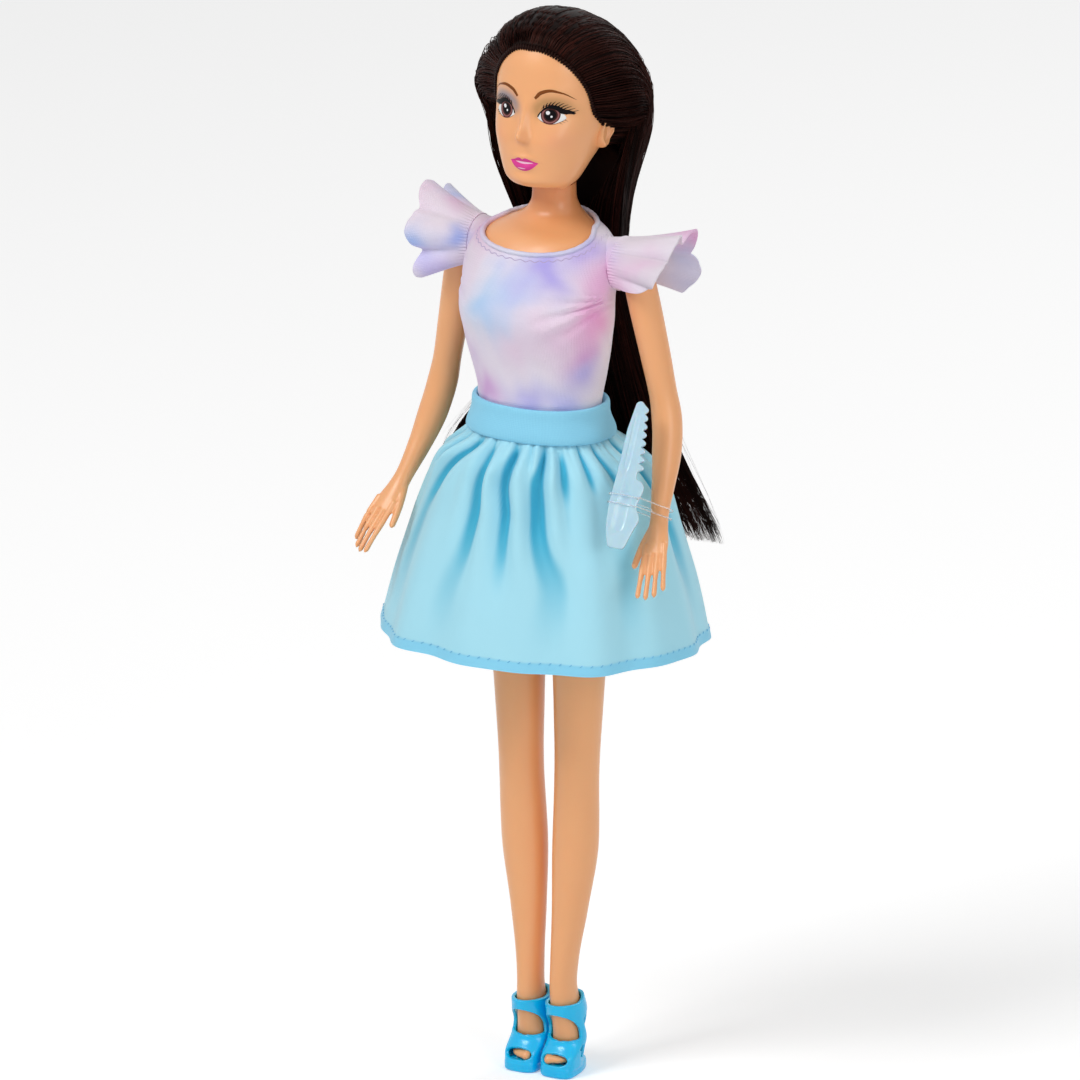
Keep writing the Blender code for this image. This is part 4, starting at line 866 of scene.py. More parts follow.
def makeEyes():
    white = filmMaterial("eye white", (0.88, 0.87, 0.86))
    ringDark = filmMaterial("iris edge brown", (0.085, 0.022, 0.022))
    ringPink = filmMaterial("iris rose brown", (0.36, 0.15, 0.145), second=(0.2, 0.075, 0.07), scale=1500.0)
    ringBrown = filmMaterial("iris deep brown", (0.05, 0.016, 0.013))
    black = filmMaterial("eye black", (0.006, 0.005, 0.006))
    glint = filmMaterial("eye glint white", (0.95, 0.95, 0.97))
    browPaint = filmMaterial("brow brown", (0.235, 0.07, 0.018))
    lashBrown = filmMaterial("lower lash brown", (0.2, 0.055, 0.04))
    span = eyeOf["outer"][0] - eyeOf["inner"][0]
    discs = ((1.0, 0.05, ringDark, "IrisEdge"), (0.9, 0.06, ringPink, "IrisRing"),
             (0.73, 0.07, ringBrown, "IrisInner"), (0.58, 0.08, black, "Pupil"))
    for name, side in bothSides:
        t, up = gridOf(np.linspace(0.002, 0.998, 60), np.linspace(0, 1, 24))
        x, lower, upper = eyeEdges(t, side)
        film(name + "EyeWhite", x, lower + (upper - lower) * up, 0.035, white)
        centreX, centreZ = side * eyeOf["irisX"], headBaseZ + eyeOf["irisZ"]
        share, turn = gridOf(np.linspace(0.001, 1, 14), roundTurns(64))
        for size, lift, paint, label in discs:
            radius = eyeOf["irisRadius"] * size
            dx = centreX + radius * share * np.cos(turn)
            dz = centreZ + radius * share * np.sin(turn)
            along = ((dx * side - eyeOf["inner"][0]) / span).clip(0.02, 0.98)
            _, low, high = eyeEdges(along, side)
            film(name + label, dx, np.clip(dz, low + 0.02, high), lift, paint, True)
        for label, dx, dz, radius in (("GlintTop", -0.62, 0.55, 0.5), ("GlintLow", 0.3, -0.42, 0.27)):
            film(name + label, centreX + dx + radius * share * np.cos(turn),
                 centreZ + dz + radius * share * np.sin(turn), 0.095, glint, True)
        # upper liner, growing outward into the wing, and the fine crease above it
        t = np.linspace(0.0, 1.0, 60)
        x, z = lidPlace(t.clip(0.004, 0.996), side, 0.0)
        wing = softStep(t, 0.82, 1.0)
        x = x + side * 1.55 * wing ** 2
        z = z + 0.75 * wing ** 1.5
        thick = 0.16 + 0.46 * softStep(t, 0.05, 0.8) * (1 - 0.8 * softStep(t, 0.9, 1.0))
        lines = [(x, z - 0.12 + 0.75 * thick, thick)]
        for place in lashPlaces:
            x0, z0 = lidPlace(place, side, 0.35)
            lean = math.radians(lashOf["lean"] - lashOf["turn"] * place)
            length = lashOf["length"] + lashOf["grow"] * place
            step = np.linspace(0, 1, 12)
            lx = x0 + side * (math.cos(lean) * length * step + 0.28 * length * step ** 2)
            lz = z0 + 0.25 * place + math.sin(lean) * length * step - 0.1 * length * step ** 2
            lines.append((lx, lz, lashOf["width"] * (1 - 0.78 * step)))
        for place in (0.8, 0.88, 0.95):
            x0, low, _ = eyeEdges(np.array(place), side)
            step = np.linspace(0, 1, 8)
            width = lashOf["lowWidth"] * (1 - 0.8 * step)
            lines.append((x0 + side * 0.75 * step, low - 0.45 * step, width))
        strokes(name + "Lashes", lines, 0.105, black)
        x, z = lidPlace(np.linspace(0.1, 0.92, 50), side, 0.72)
        fade = np.sin(np.linspace(0, math.pi, 50))
        strokes(name + "LidCrease", [(x, z, 0.02 + 0.075 * fade)], 0.05, lashBrown)
        x, low, _ = eyeEdges(np.linspace(0.05, 0.99, 50), side)
        strokes(name + "LowerLid", [(x, low - 0.03, 0.03 + 0.05 * fade)], 0.05, lashBrown)
        step = np.linspace(0, 1, 60)
        bx, bz = smoothRows(browRows, step).T
        width = 0.44 * np.sin(math.pi * (0.1 + 0.9 * step) ** 0.62) + 0.03
        strokes(name + "Brow", [(side * bx, bz + headBaseZ, width)], 0.035, browPaint)


lipOf = {"halfWidth": 4.15, "z": 8.75, "upper": 1.7, "lower": 2.15, "dip": 0.38}


def makeLips():
    # upper edge with two peaks, lower edge one full curve; columns run from corner to corner
    magenta = filmMaterial("magenta lip paint", (0.62, 0.03, 0.235), 0.22, (0.78, 0.085, 0.36), 500.0)
    shine = filmMaterial("lip highlight", (0.93, 0.62, 0.78), 0.2)
    across, up = gridOf(np.linspace(-1, 1, 90), np.linspace(0, 1, 26))
    arch = (1 - np.abs(across) ** 1.7)
    top = (lipOf["upper"] * arch * (0.86 + 0.14 * np.cos((np.abs(across) - 0.26) * 6))
           - lipOf["dip"] * bell(across, 0.12))
    bottom = lipOf["lower"] * (1 - np.abs(across) ** 2.1) ** 1.05
    lift = 0.25 * across ** 2
    z = headBaseZ + lipOf["z"] + lift - bottom + (top + bottom) * up
    film("lips", across * lipOf["halfWidth"], z, 0.04, magenta)
    step = np.linspace(-1, 1, 60)
    width = 0.22 * (1 - step ** 2) ** 0.8 + 0.01
    line = (step * 2.6 + 0.2, headBaseZ + lipOf["z"] + 0.12 + 0.1 * step ** 2, width)
    low = (step * 1.2 - 0.3, headBaseZ + lipOf["z"] - 1.35 + 0 * step, 0.16 * (1 - step ** 2) ** 0.8 + 0.01)
    strokes("lipShine", [line, low], 0.06, shine)


makeHead()
makeEars()
makeEyes()
makeLips()
print("head and face ready")


# Hair: a dark shell, and strands combed back from the hairline and down the back

hairlineRows = (
    (-90, 60), (-60, 68), (-45, 76), (-33, 84), (-22, 100),
    (-10, 112), (10, 117.5), (35, 125.5), (60, 131), (90, 134),
)
tressRows = (  # height share of 116.5 mm, then shares of 34.5 mm: half width, half depth, back, sideways
    (0.0, 0.76, 0.33, 0.61, 0.0), (0.045, 0.735, 0.31, 0.62, 0.0), (0.1, 0.67, 0.26, 0.63, -0.01),
    (0.155, 0.53, 0.2, 0.62, -0.045), (0.215, 0.405, 0.175, 0.62, -0.07), (0.36, 0.37, 0.155, 0.64, -0.02),
    (0.49, 0.435, 0.14, 0.635, 0.02), (0.59, 0.55, 0.13, 0.66, 0.01), (0.72, 0.76, 0.105, 0.8, -0.11),
    (0.815, 0.826, 0.09, 0.93, -0.15), (0.918, 0.92, 0.075, 1.01, -0.05), (1.0, 0.754, 0.05, 1.045, 0.185),
)
hairOf = {"clearance": 0.4, "rim": 0.7, "side": 8.8, "top": 0.8, "back": 8.0, "end": 6.6, "step": 3.2,
          "tressLength": 116.5, "tressHalfWidth": 34.5, "strands": 3540, "strandRadius": 0.105,
          "perPiece": 590, "plugs": 150, "smoothing": 14, "seed": 7,
          "capSteps": 16, "tailSteps": 18, "flyaways": 130, "gap": 1.1,
          "skirtHalfWidth": 44.3, "skirtHeight": 57.8}
headMiddle = np.array([0.0, headOf["centreY"], headBaseZ + headOf["height"] * 0.53])
tressTopZ = headBaseZ + headOf["height"] * 0.33


def headRadius(direction):
    # distance from the head's middle to its skin along each direction, by halving
    low, high = np.zeros(direction.shape[:-1]), np.full(direction.shape[:-1], headOf["height"])
    for _ in range(20):
        middle = (low + high) / 2
        point = headMiddle + direction * middle[..., None]
        halfWidth, front, back, centre = headSection(point[..., 2])
        y = point[..., 1] - centre
        depth = np.where(y < 0, front, back)
        power = 2 / headOf["power"]
        far = (np.abs(point[..., 0]) / halfWidth) ** power + (np.abs(y) / depth) ** power
        level = (point[..., 2] > headBaseZ) & (point[..., 2] < headBaseZ + headOf["height"])
        inside = (far < 1) & level
        low, high = np.where(inside, middle, low), np.where(inside, high, middle)
    return low


def hairEdge(turn):
    # how far round from the back the hairline lies; it comes a little further forward on the right
    folded = np.degrees(np.arcsin(np.sin(turn)))
    edge = smoothRows(hairlineRows, folded)[..., 0]
    return np.radians(edge + 6.0 * softStep(-np.cos(turn), 0.2, 0.9) * softStep(folded, -15, 5))


def hairThickness(direction):
    # how deep the hair lies over the skin: thin at the hairline, full at the sides and behind
    reach = np.arccos(direction[..., 1].clip(-1, 1))
    turn = np.arctan2(direction[..., 2], direction[..., 0])
    share = (reach / hairEdge(turn)).clip(0, 1)
    up = np.maximum(np.sin(turn), 0) * np.sin(reach)
    down = np.maximum(-np.sin(turn), 0)
    full = hairOf["side"] + (hairOf["back"] - hairOf["side"]) * (1 - share)
    full = full + (hairOf["top"] - full) * up ** 1.05
    root = hairOf["rim"] + (hairOf["end"] - hairOf["rim"]) * ((down - 0.45) / 0.3).clip(0, 1)
    steep = 2.9 + 0.9 * softStep(-direction[..., 0], 0.2, 0.8)
    return root + (full - root) * softStep((1 - share) * steep, -0.15, 1)


def hairDirection(turn, reach):
    return np.stack([np.sin(reach) * np.cos(turn), np.cos(reach), np.sin(reach) * np.sin(turn)], -1)


def tressPoint(place, across, depth):
    # a point inside the long hair: across and depth run from -1 to 1; low down it lies on the skirt,
    # whose back is an ellipse a gap larger than the cloth's own
    rows = smoothRows(tressRows, place) * hairOf["tressHalfWidth"]
    wide, thick, back, sideways = np.moveaxis(rows, -1, 0)
    wrap = wide * (0.1 + 0.42 * softStep(-place, -0.34, -0.1)) * across ** 2 * (1 - place)
    room = np.sqrt(np.maximum(1 - 0.9 * across ** 2, 0.05))
    x = sideways + wide * across
    z = tressTopZ - place * hairOf["tressLength"]
    y = back + thick * depth * room - wrap
    down = ((skirtTopZ - z) / hairOf["skirtHeight"]).clip(0, 1)
    halfWidth = (0.47 + 0.56 * down ** 0.62) * hairOf["skirtHalfWidth"] + hairOf["gap"]
    onSkirt = axisY + (halfWidth * 0.8 + 1.0) * np.sqrt((1 - (x / halfWidth) ** 2).clip(0.03, 1))
    onSkirt = onSkirt + thick * (1 + depth) * room
    low = softStep(-z, -skirtTopZ - 2, -skirtTopZ + 7) * (1 - softStep(x, 3, 19))
    return np.stack([x, y + (onSkirt - y) * low, z], -1)


def hairMaterial():
    made, tree = newMaterial("espresso hair", (0.02, 0.007, 0.006), 0.4, Specular_IOR_Level=0.1,
                             Specular_Tint=(1.0, 0.62, 0.52, 1))
    # the tone runs from near black to a reddish brown: partly random colour, partly painted sheen on the
    # outer strands and painted shade on the inner ones
    shade = mixColour(tree, attributeOf(tree, "tone"), (0.0022, 0.0008, 0.0009, 1), (0.07, 0.017, 0.012, 1))
    streak = ranged(tree, noiseOut(tree, 700.0), 0.55, 1.25)
    shade = mixColour(tree, 1.0, shade, streak, "MULTIPLY")
    toShader(tree, shade, "Base Color")
    return made


def evenPaths(path, steps):
    # the same curves with their points spread evenly along them
    length = np.linalg.norm(np.diff(path, axis=1), axis=2)
    along = np.concatenate([np.zeros((len(path), 1)), np.cumsum(length, axis=1)], axis=1)
    along /= along[:, -1:]
    shift = np.arange(len(path))[:, None] * 2.0
    wanted = (np.linspace(0, 1, steps)[None] + shift).ravel()
    known = (along + shift).ravel()
    return np.stack([np.interp(wanted, known, path[..., axis].ravel()) for axis in range(3)], -1).reshape(
        len(path), steps, 3)


def capStrands(random, count):
    # each strand starts in a plug near the hairline, rises to its own layer, is combed back over the
    # skull on a curve of directions R (1 - s)^2 + 2 C s (1 - s) + N s^2, and ends at the nape
    turns = np.radians(np.linspace(-90, 270, hairOf["plugs"], endpoint=False))
    plug = random.integers(0, len(turns), count)
    turn = turns[plug] + random.normal(0, 0.006, count)
    row = random.choice([0, 0, 1, 2, 3, 5, 7], count)
    reach = hairEdge(turn) * (0.993 - 0.06 * row) + random.normal(0, 0.006, count)
    root = hairDirection(turn, reach)
    rootX, rootY, rootZ = root.T
    lane = (rootX * 1.02 + random.normal(0, 0.09, count)).clip(-1.05, 1.05)
    control = np.stack([rootX * 1.45, 0.75 - 0.25 * rootY, 0.22 + 0.95 * rootZ.clip(-0.3, 1)], -1)
    control[:, 0] += random.normal(0, 0.05, count) + 0.1 * rootZ.clip(0, 1)
    nape = np.stack([lane * 0.88, 0.8 - 0.56 * lane ** 2,
                     -0.6 + 0.06 * lane ** 2 - 0.12 * random.random(count)], -1)
    # on the right the hair falls from the front hairline down beside the face
    fall = softStep(-rootX, 0.3, 0.8) * softStep(-rootY, -0.35, 0.25)
    beside = np.stack([np.full(count, -1.3), -0.34 + 0.5 * random.random(count),
                       0.1 + 0.62 * rootZ.clip(-0.1, 1)], -1)
    low = np.stack([np.full(count, -0.9), 0.06 + 0.35 * random.random(count),
                    -0.56 - 0.05 * random.random(count)], -1)
    control += (beside - control) * fall[:, None]
    nape += (low - nape) * fall[:, None]
    lane = lane + (-1.12 + 0.24 * random.random(count) - lane) * fall
    s = np.linspace(0, 1, 48)[None, :, None]
    path = root[:, None] * (1 - s) ** 2 + 2 * control[:, None] * s * (1 - s) + nape[:, None] * s ** 2
    path = unit(evenPaths(unit(path), hairOf["capSteps"]))
    layer = 0.6 + 0.44 * random.random(count) ** 0.7
    away = np.linalg.norm(path - path[:, :1], axis=2) * 19.0
    rise = softStep(away, -0.8, 4.5)
    clump = 0.03 * np.sin(turn * 41 + 1.5 * row) + 0.03 * np.sin(turn * 89)
    lift = hairThickness(path) * (layer + clump)[:, None] * rise
    late = softStep(np.linspace(0, 1, hairOf["capSteps"]), 0.5, 1.0)
    lift += hairOf["step"] * late[None] * layer[:, None]
    radius = headRadius(path) + hairOf["clearance"] * rise - 0.3 * (1 - rise) + lift
    return headMiddle + path * radius[..., None], lane, layer, away


def makeHair():
    random = np.random.default_rng(hairOf["seed"])
    count = hairOf["strands"]
    cap, lane, layer, away = capStrands(random, count)
    across = (lane * 0.9 + random.normal(0, 0.15, count)).clip(-1, 1)
    depth = ((layer - 0.6) * 4.5 - 1.0 + random.normal(0, 0.3, count)).clip(-1, 1)
    end = 0.95 - 0.11 * softStep(-across, 0.3, 1.0) + 0.015 * softStep(across, 0.3, 0.8)
    end = (end + 0.045 * random.random(count) - 0.1 * random.random(count) ** 5).clip(0.6, 1.0)
    step = np.linspace(0, 1, hairOf["tailSteps"])[None, :]
    start = 0.105 - 0.07 * (across[:, None].clip(-1, 1)) ** 2
    place = start + (end[:, None] - start) * step
    wander = (0.05 * np.sin(place * 5.0 + random.random((count, 1)) * 6.3)
              + 0.025 * np.sin(place * 13.0 + random.random((count, 1)) * 6.3)) * step ** 0.7
    free = np.zeros(count)
    free[random.permutation(count)[:hairOf["flyaways"]]] = 1
    loose = free[:, None] * (0.1 * np.sin(place * 4 + random.random((count, 1)) * 6.3) + 0.1) * step
    tail = tressPoint(place, (across[:, None] * (1 + loose) + wander).clip(-1.12, 1.12),
                      (depth[:, None] + 1.6 * wander + 2.5 * loose).clip(-1, 1.6))
    path = np.concatenate([cap, tail], axis=1)
    # the first rounds smooth the whole strand, the rest only where the cap passes into the tail
    turnAt = hairOf["capSteps"]
    for number in range(hairOf["smoothing"]):
        part = slice(2, -1) if number < 3 else slice(turnAt - 6, turnAt + 6)
        path[:, part] = 0.25 * path[:, part.start - 1:part.stop - 1] + 0.5 * path[:, part] + 0.25 * (
            path[:, part.start + 1:(part.stop + 1) or None])
    steps = path.shape[1]
    share = np.linspace(0, 1, steps)
    width = hairOf["strandRadius"] * (0.85 + 0.35 * random.random((count, 1)))
    width = width * (1 - 0.75 * share[None] ** 5) * (1 - 0.5 * free[:, None])
    near = np.concatenate([np.exp(-away / 1.3), np.zeros(tail.shape[:2])], axis=1)
    width = width * (1 + 1.1 * near)
    # partly random tone, partly painted sheen: clumped lanes and the outer layers lighter reddish brown, the
    # inner layers darker as painted shade
    toneAndSheen = (0.16 + 0.4 * random.random(count) ** 2 + 0.2 * np.sin(across * 31)
             + 0.16 * np.sin(across * 67 + 1) + 0.35 * (layer - 0.8)).clip(0, 1)
    material = hairMaterial()
    order = np.argsort(across)
    nodes = ["hair_length", "hair_cap"]
    for number, first in enumerate(range(0, count, hairOf["perPiece"])):
        chosen = order[first:first + hairOf["perPiece"]]
        made = meshObject("hairStrands%d" % (number + 1), *tubeParts(path[chosen], width[chosen], 3))
        addValue(made, "tone", np.repeat(toneAndSheen[chosen], steps * 3))
        finishPiece(made, material, None, nodes)
        nodes = []
        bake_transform(made)
    return material


def makeHairShell(material):
    # the dark body under the strands, in the darkest tone as painted shade for the hair's depth: inner and
    # outer surfaces from the hairline to the back
    share, turns = gridOf(np.linspace(0.975, 0.004, 60), roundTurns(160))
    direction = hairDirection(turns, hairEdge(turns) * share)
    skin = headRadius(direction)
    groove = 0.12 * np.sin(turns * 60) + 0.1 * np.sin(turns * 37 + 3 * share)
    deep = (hairThickness(direction) * 0.62 + groove) * softStep(share, 0.985, 0.84) - 0.15
    outer = headMiddle + direction * (skin + hairOf["clearance"] + deep)[..., None]
    inner = headMiddle + direction * (skin - 0.4)[..., None]
    shell = outward(meshObject("hairShell", *closedLoft(np.concatenate([inner[::-1], outer]))))
    # tone 0, the darkest brown: painted shade between the strands
    addValue(shell, "tone", np.zeros(len(shell.data.vertices)))
    finishPiece(shell, material, "head")
    place, turn = gridOf(np.linspace(0.03, 0.9, 80), roundTurns(110))
    narrow = 0.84 - 0.25 * softStep(place, 0.75, 0.9) - 0.45 * softStep(-place, -0.1, -0.03)
    points = tressPoint(place, narrow * np.cos(turn), 0.5 * np.sin(turn) - 0.1)
    body = outward(meshObject("hairBody", *closedLoft(points)))
    # tone 0, the darkest brown: painted shade under the long strands
    addValue(body, "tone", np.zeros(len(body.data.vertices)))
    finishPiece(body, material, None)
    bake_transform(body)


def makePlugs(material):
    # the rooted tufts along the front hairline: short fat drops that lie back from the edge
    turns = np.radians(np.linspace(-24, 204, 74))
    step = np.linspace(0, 1, 6)[None]
    reach = hairEdge(turns)[:, None] * (1.004 - 0.04 * step)
    direction = hairDirection(turns[:, None] + 0.012 * step, reach)
    radius = headRadius(direction) + 0.12 + 0.25 * np.sin(step * math.pi)
    path = headMiddle + direction * radius[..., None]
    width = np.broadcast_to(np.array([0.1, 0.36, 0.46, 0.44, 0.32, 0.08]), path.shape[:2])
    made = meshObject("hairPlugs", *tubeParts(path, width, 10))
    addValue(made, "tone", np.full(len(made.data.vertices), 0.12))
    finishPiece(made, material, "head")


makeHairShell(hairMaterial())
makePlugs(hairMaterial())
makeHair()
print("hair ready")


# Clothes: thick sheets worked out on grids

def sheetNormals(points, closedRound):
    # unit normals of a grid of points, from the differences along its rows and columns
    if closedRound:
        wrapped = np.concatenate([points[:, -1:], points, points[:, :1]], axis=1)
        across = (wrapped[:, 2:] - wrapped[:, :-2]) / 2
    else:
        across = np.gradient(points, axis=1)
    return unit(np.cross(across, np.gradient(points, axis=0)))


def sheetObject(name, points, thickness, closedRound=False, normals=None, keep=None):
    # a sheet with an outer and an inner side, thickness apart, and rims round every open edge;
    # keep is a mask of the grid's faces that stay
    if normals is None:
        normals = sheetNormals(points, closedRound)
    rows, columns = points.shape[:2]
    outer = (points + normals * thickness / 2).reshape(-1, 3)
    inner = (points - normals * thickness / 2).reshape(-1, 3)
    count = len(outer)
    faces = gridFaces(rows, columns, closedRound)
    if keep is not None:
        faces = faces[keep.ravel()]
    edges = np.concatenate([faces[:, [0, 1]], faces[:, [1, 2]], faces[:, [2, 3]], faces[:, [3, 0]]])
    code = edges[:, 0].astype(np.int64) * count + edges[:, 1]
    back = edges[:, 1].astype(np.int64) * count + edges[:, 0]
    rim = edges[~np.isin(code, back)]
    rimFaces = np.stack([rim[:, 1], rim[:, 0], rim[:, 0] + count, rim[:, 1] + count], -1)
    allFaces = np.concatenate([faces, faces[:, ::-1] + count, rimFaces])
    used = np.unique(allFaces)
    number = np.full(2 * count, -1)
    number[used] = np.arange(len(used))
    vertices = np.concatenate([outer, inner])[used]
    facing = np.concatenate([normals.reshape(-1, 3), -normals.reshape(-1, 3)])[used]
    made = meshObject(name, vertices, number[allFaces])
    return made, used % count, facing


def loopTube(path, radius, sides):
    # a closed ring of tube along a closed path; radius may change along it
    ahead = unit(np.roll(path, -1, 0) - np.roll(path, 1, 0))
    side = unit(np.cross(ahead, [0.0, 0.0, 1.0]))
    up = np.cross(side, ahead)
    turn = roundTurns(sides)[None, :, None]
    radius = np.broadcast_to(np.asarray(radius, float), len(path))[:, None, None]
    points = path[:, None] + radius * (side[:, None] * np.cos(turn) + up[:, None] * np.sin(turn))
    return points.reshape(-1, 3), ringFaces(len(path), sides).tolist()


# colours of the dye: place in millimetres, reach and colour of each soft spot
dyeSpots = (
    (-13.0, -3.0, 229.0, 6.0, (0.72, 0.28, 0.58)), (-14.0, -6.0, 224.0, 5.0, (0.8, 0.72, 0.8)),
    (-4.5, -13.5, 211.0, 5.6, (0.3, 0.62, 0.94)), (-1.0, -14.5, 216.5, 4.5, (0.5, 0.68, 0.95)),
    (1.5, -13.5, 219.5, 4.8, (0.6, 0.62, 0.93)), (9.5, -12.5, 223.0, 4.5, (0.46, 0.4, 0.86)),
    (17.0, -5.0, 229.0, 4.6, (0.52, 0.42, 0.84)), (20.0, -3.0, 219.0, 4.4, (0.88, 0.5, 0.75)),
    (18.5, -8.0, 209.0, 5.2, (0.88, 0.3, 0.62)), (17.0, -8.0, 200.0, 3.8, (0.7, 0.3, 0.62)),
    (16.5, -7.0, 195.5, 3.4, (0.52, 0.46, 0.82)), (-10.0, -9.0, 188.0, 4.4, (0.66, 0.38, 0.7)),
    (2.4, -11.0, 187.0, 4.2, (0.46, 0.44, 0.84)), (12.0, -9.0, 188.0, 3.6, (0.5, 0.5, 0.86)),
    (1.8, -14.0, 204.0, 6.0, (0.82, 0.66, 0.8)), (11.7, -12.0, 206.7, 5.5, (0.84, 0.62, 0.79)),
    (-16.0, -6.0, 213.0, 4.5, (0.72, 0.52, 0.78)), (-13.5, -8.0, 200.0, 5.0, (0.74, 0.58, 0.8)),
    (0.0, 17.0, 222.0, 7.0, (0.6, 0.6, 0.92)), (-9.0, 16.0, 207.0, 6.0, (0.84, 0.46, 0.72)),
    (9.0, 15.0, 200.0, 6.0, (0.42, 0.66, 0.94)), (3.0, 14.0, 189.0, 5.0, (0.72, 0.5, 0.78)),
    (-33.0, -7.0, 222.0, 3.4, (0.34, 0.52, 0.92)), (-29.0, -4.0, 216.0, 4.6, (0.62, 0.54, 0.9)),
    (-33.0, 10.0, 236.0, 4.2, (0.34, 0.52, 0.92)), (-24.0, -3.0, 226.0, 2.6, (0.3, 0.42, 0.88)),
    (-38.0, 2.0, 231.0, 4.5, (0.86, 0.6, 0.8)), (-26.0, 6.0, 236.0, 3.6, (0.84, 0.5, 0.76)),
    (30.0, -7.0, 228.0, 4.6, (0.88, 0.58, 0.8)), (25.0, -6.0, 217.0, 3.8, (0.88, 0.52, 0.76)),
    (38.0, 12.0, 231.0, 4.6, (0.86, 0.46, 0.74)), (36.0, 13.0, 221.0, 5.0, (0.56, 0.62, 0.9)),
)
dyeBase = (0.87, 0.81, 0.89)


def dyeColour(points):
    # soft spots whose edges wander: the weight is exp(-(distance / reach)^2) at a warped place
    x, y, z = points.T
    warp = np.stack([1.3 * np.sin(z * 0.41 + y * 0.23) + 0.6 * np.sin(y * 0.9 + z * 0.7),
                     1.1 * np.sin(x * 0.37 + z * 0.29),
                     1.2 * np.sin(x * 0.45 + 1.7) + 0.6 * np.sin(x * 1.1 - y * 0.8)], -1)
    place = points + warp
    colour = np.tile(np.array(dyeBase), (len(points), 1))
    for spot in dyeSpots:
        far = ((place - np.array(spot[:3])) ** 2).sum(1) / (1.28 * spot[3]) ** 2
        amount = 0.97 * np.exp(-far)[:, None]
        colour = colour * (1 - amount) + np.array(spot[4]) * amount
    return colour


def uvOf(tree):
    source = addNode(tree, "ShaderNodeTexCoord").outputs["UV"]
    return addNode(tree, "ShaderNodeSeparateXYZ", None, Vector=source).outputs


def knitBump(tree, period, depth):
    # fine ribs that run up and down, each a row of small loops; the period is in millimetres
    split, turns = uvOf(tree), 2 * math.pi / period
    rib = mathNode(tree, "SINE", mathNode(tree, "MULTIPLY", split[0], turns))
    loop = mathNode(tree, "SINE", mathNode(tree, "MULTIPLY", split[1], turns * 0.8))
    height = mathNode(tree, "MULTIPLY_ADD", loop, 0.22, mathNode(tree, "MULTIPLY", rib, 0.5))
    height = mathNode(tree, "MULTIPLY_ADD", noiseOut(tree, 1800.0, 3.0), 0.7, height)
    bumpTo(tree, height, depth)
    return height


def dressSheet(made, points, places, index):
    # the sheet's own UV places (across, up) and its dye, for the vertices that are in use
    addUv(made, np.stack(np.broadcast_arrays(*places), -1).reshape(-1, 2)[index])
    addColour(made, "dye", dyeColour(points.reshape(-1, 3))[index])


def knitMaterial():
    made, tree = newMaterial("dyed knit", dyeBase, 0.78, Sheen_Weight=0.22, Sheen_Roughness=0.5,
                             Specular_IOR_Level=0.3)
    # painted shade in the knit: the low parts of the rib and loop relief are darkened a little
    share = ranged(tree, knitBump(tree, 0.42, 0.055), 0.18, 0.0, -0.5, 1.2)
    shade = mixColour(tree, share, attributeOf(tree, "dye", "Color"), (0.8, 0.74, 0.88, 1), "MULTIPLY")
    toShader(tree, shade, "Base Color")
    return made


dyedKnit = knitMaterial()
topOf = {"bottomZ": 179.8, "inner": 0.4, "outer": 1.0, "front": 15.2, "side": 10.2, "back": 8.6,
         "armHole": 6.3, "armHoleX": 11.3, "snap": 0.3, "deepest": 0.26, "rows": 100, "columns": 270}


def necklineZ(turns):
    ahead = np.cos(turns)
    drop = topOf["side"] + (topOf["front"] - topOf["side"]) * np.maximum(ahead, 0) ** 1.3
    drop -= (topOf["side"] - topOf["back"]) * np.maximum(-ahead, 0) ** 1.3
    return neckTopZ - drop


def topCrease(x, y, z):
    # pulls from the left underarm across the chest, a few soft pulls elsewhere
    lift = np.zeros(x.shape)
    front = softStep(-y, -4.0, 4.0)
    for side, pulls in ((1, ((-27, 1.0, 3.6), (-9, 0.75, 3.2), (10, 0.4, 3.0), (-52, 0.45, 4.0))),
                        (-1, ((-30, 0.25, 4.0), (4, 0.18, 4.0)))):
        across, up = side * 23.5 - x, z - 215.8
        far = np.hypot(across, up) + 1e-6
        angle = np.degrees(np.arctan2(up, across * side))
        for heading, depth, wide in pulls:
            ridge = np.exp(-((angle - heading) / (wide * 1.9)) ** 2) - 0.8 * np.exp(
                -((angle - heading - wide * 2.6) / (wide * 1.5)) ** 2)
            lift += depth * ridge * softStep(far, 1.0, 5.0) * (1 - softStep(far, 9.0, 20.0)) * front
    lift += 0.1 * np.sin(z * 0.55 + 0.35 * x) * np.sin(x * 0.3 + 1.0)
    lift += 0.3 * bell(z - 186.5 - 0.05 * x, 1.3) * (0.6 + 0.4 * np.sin(x * 0.7))
    return lift


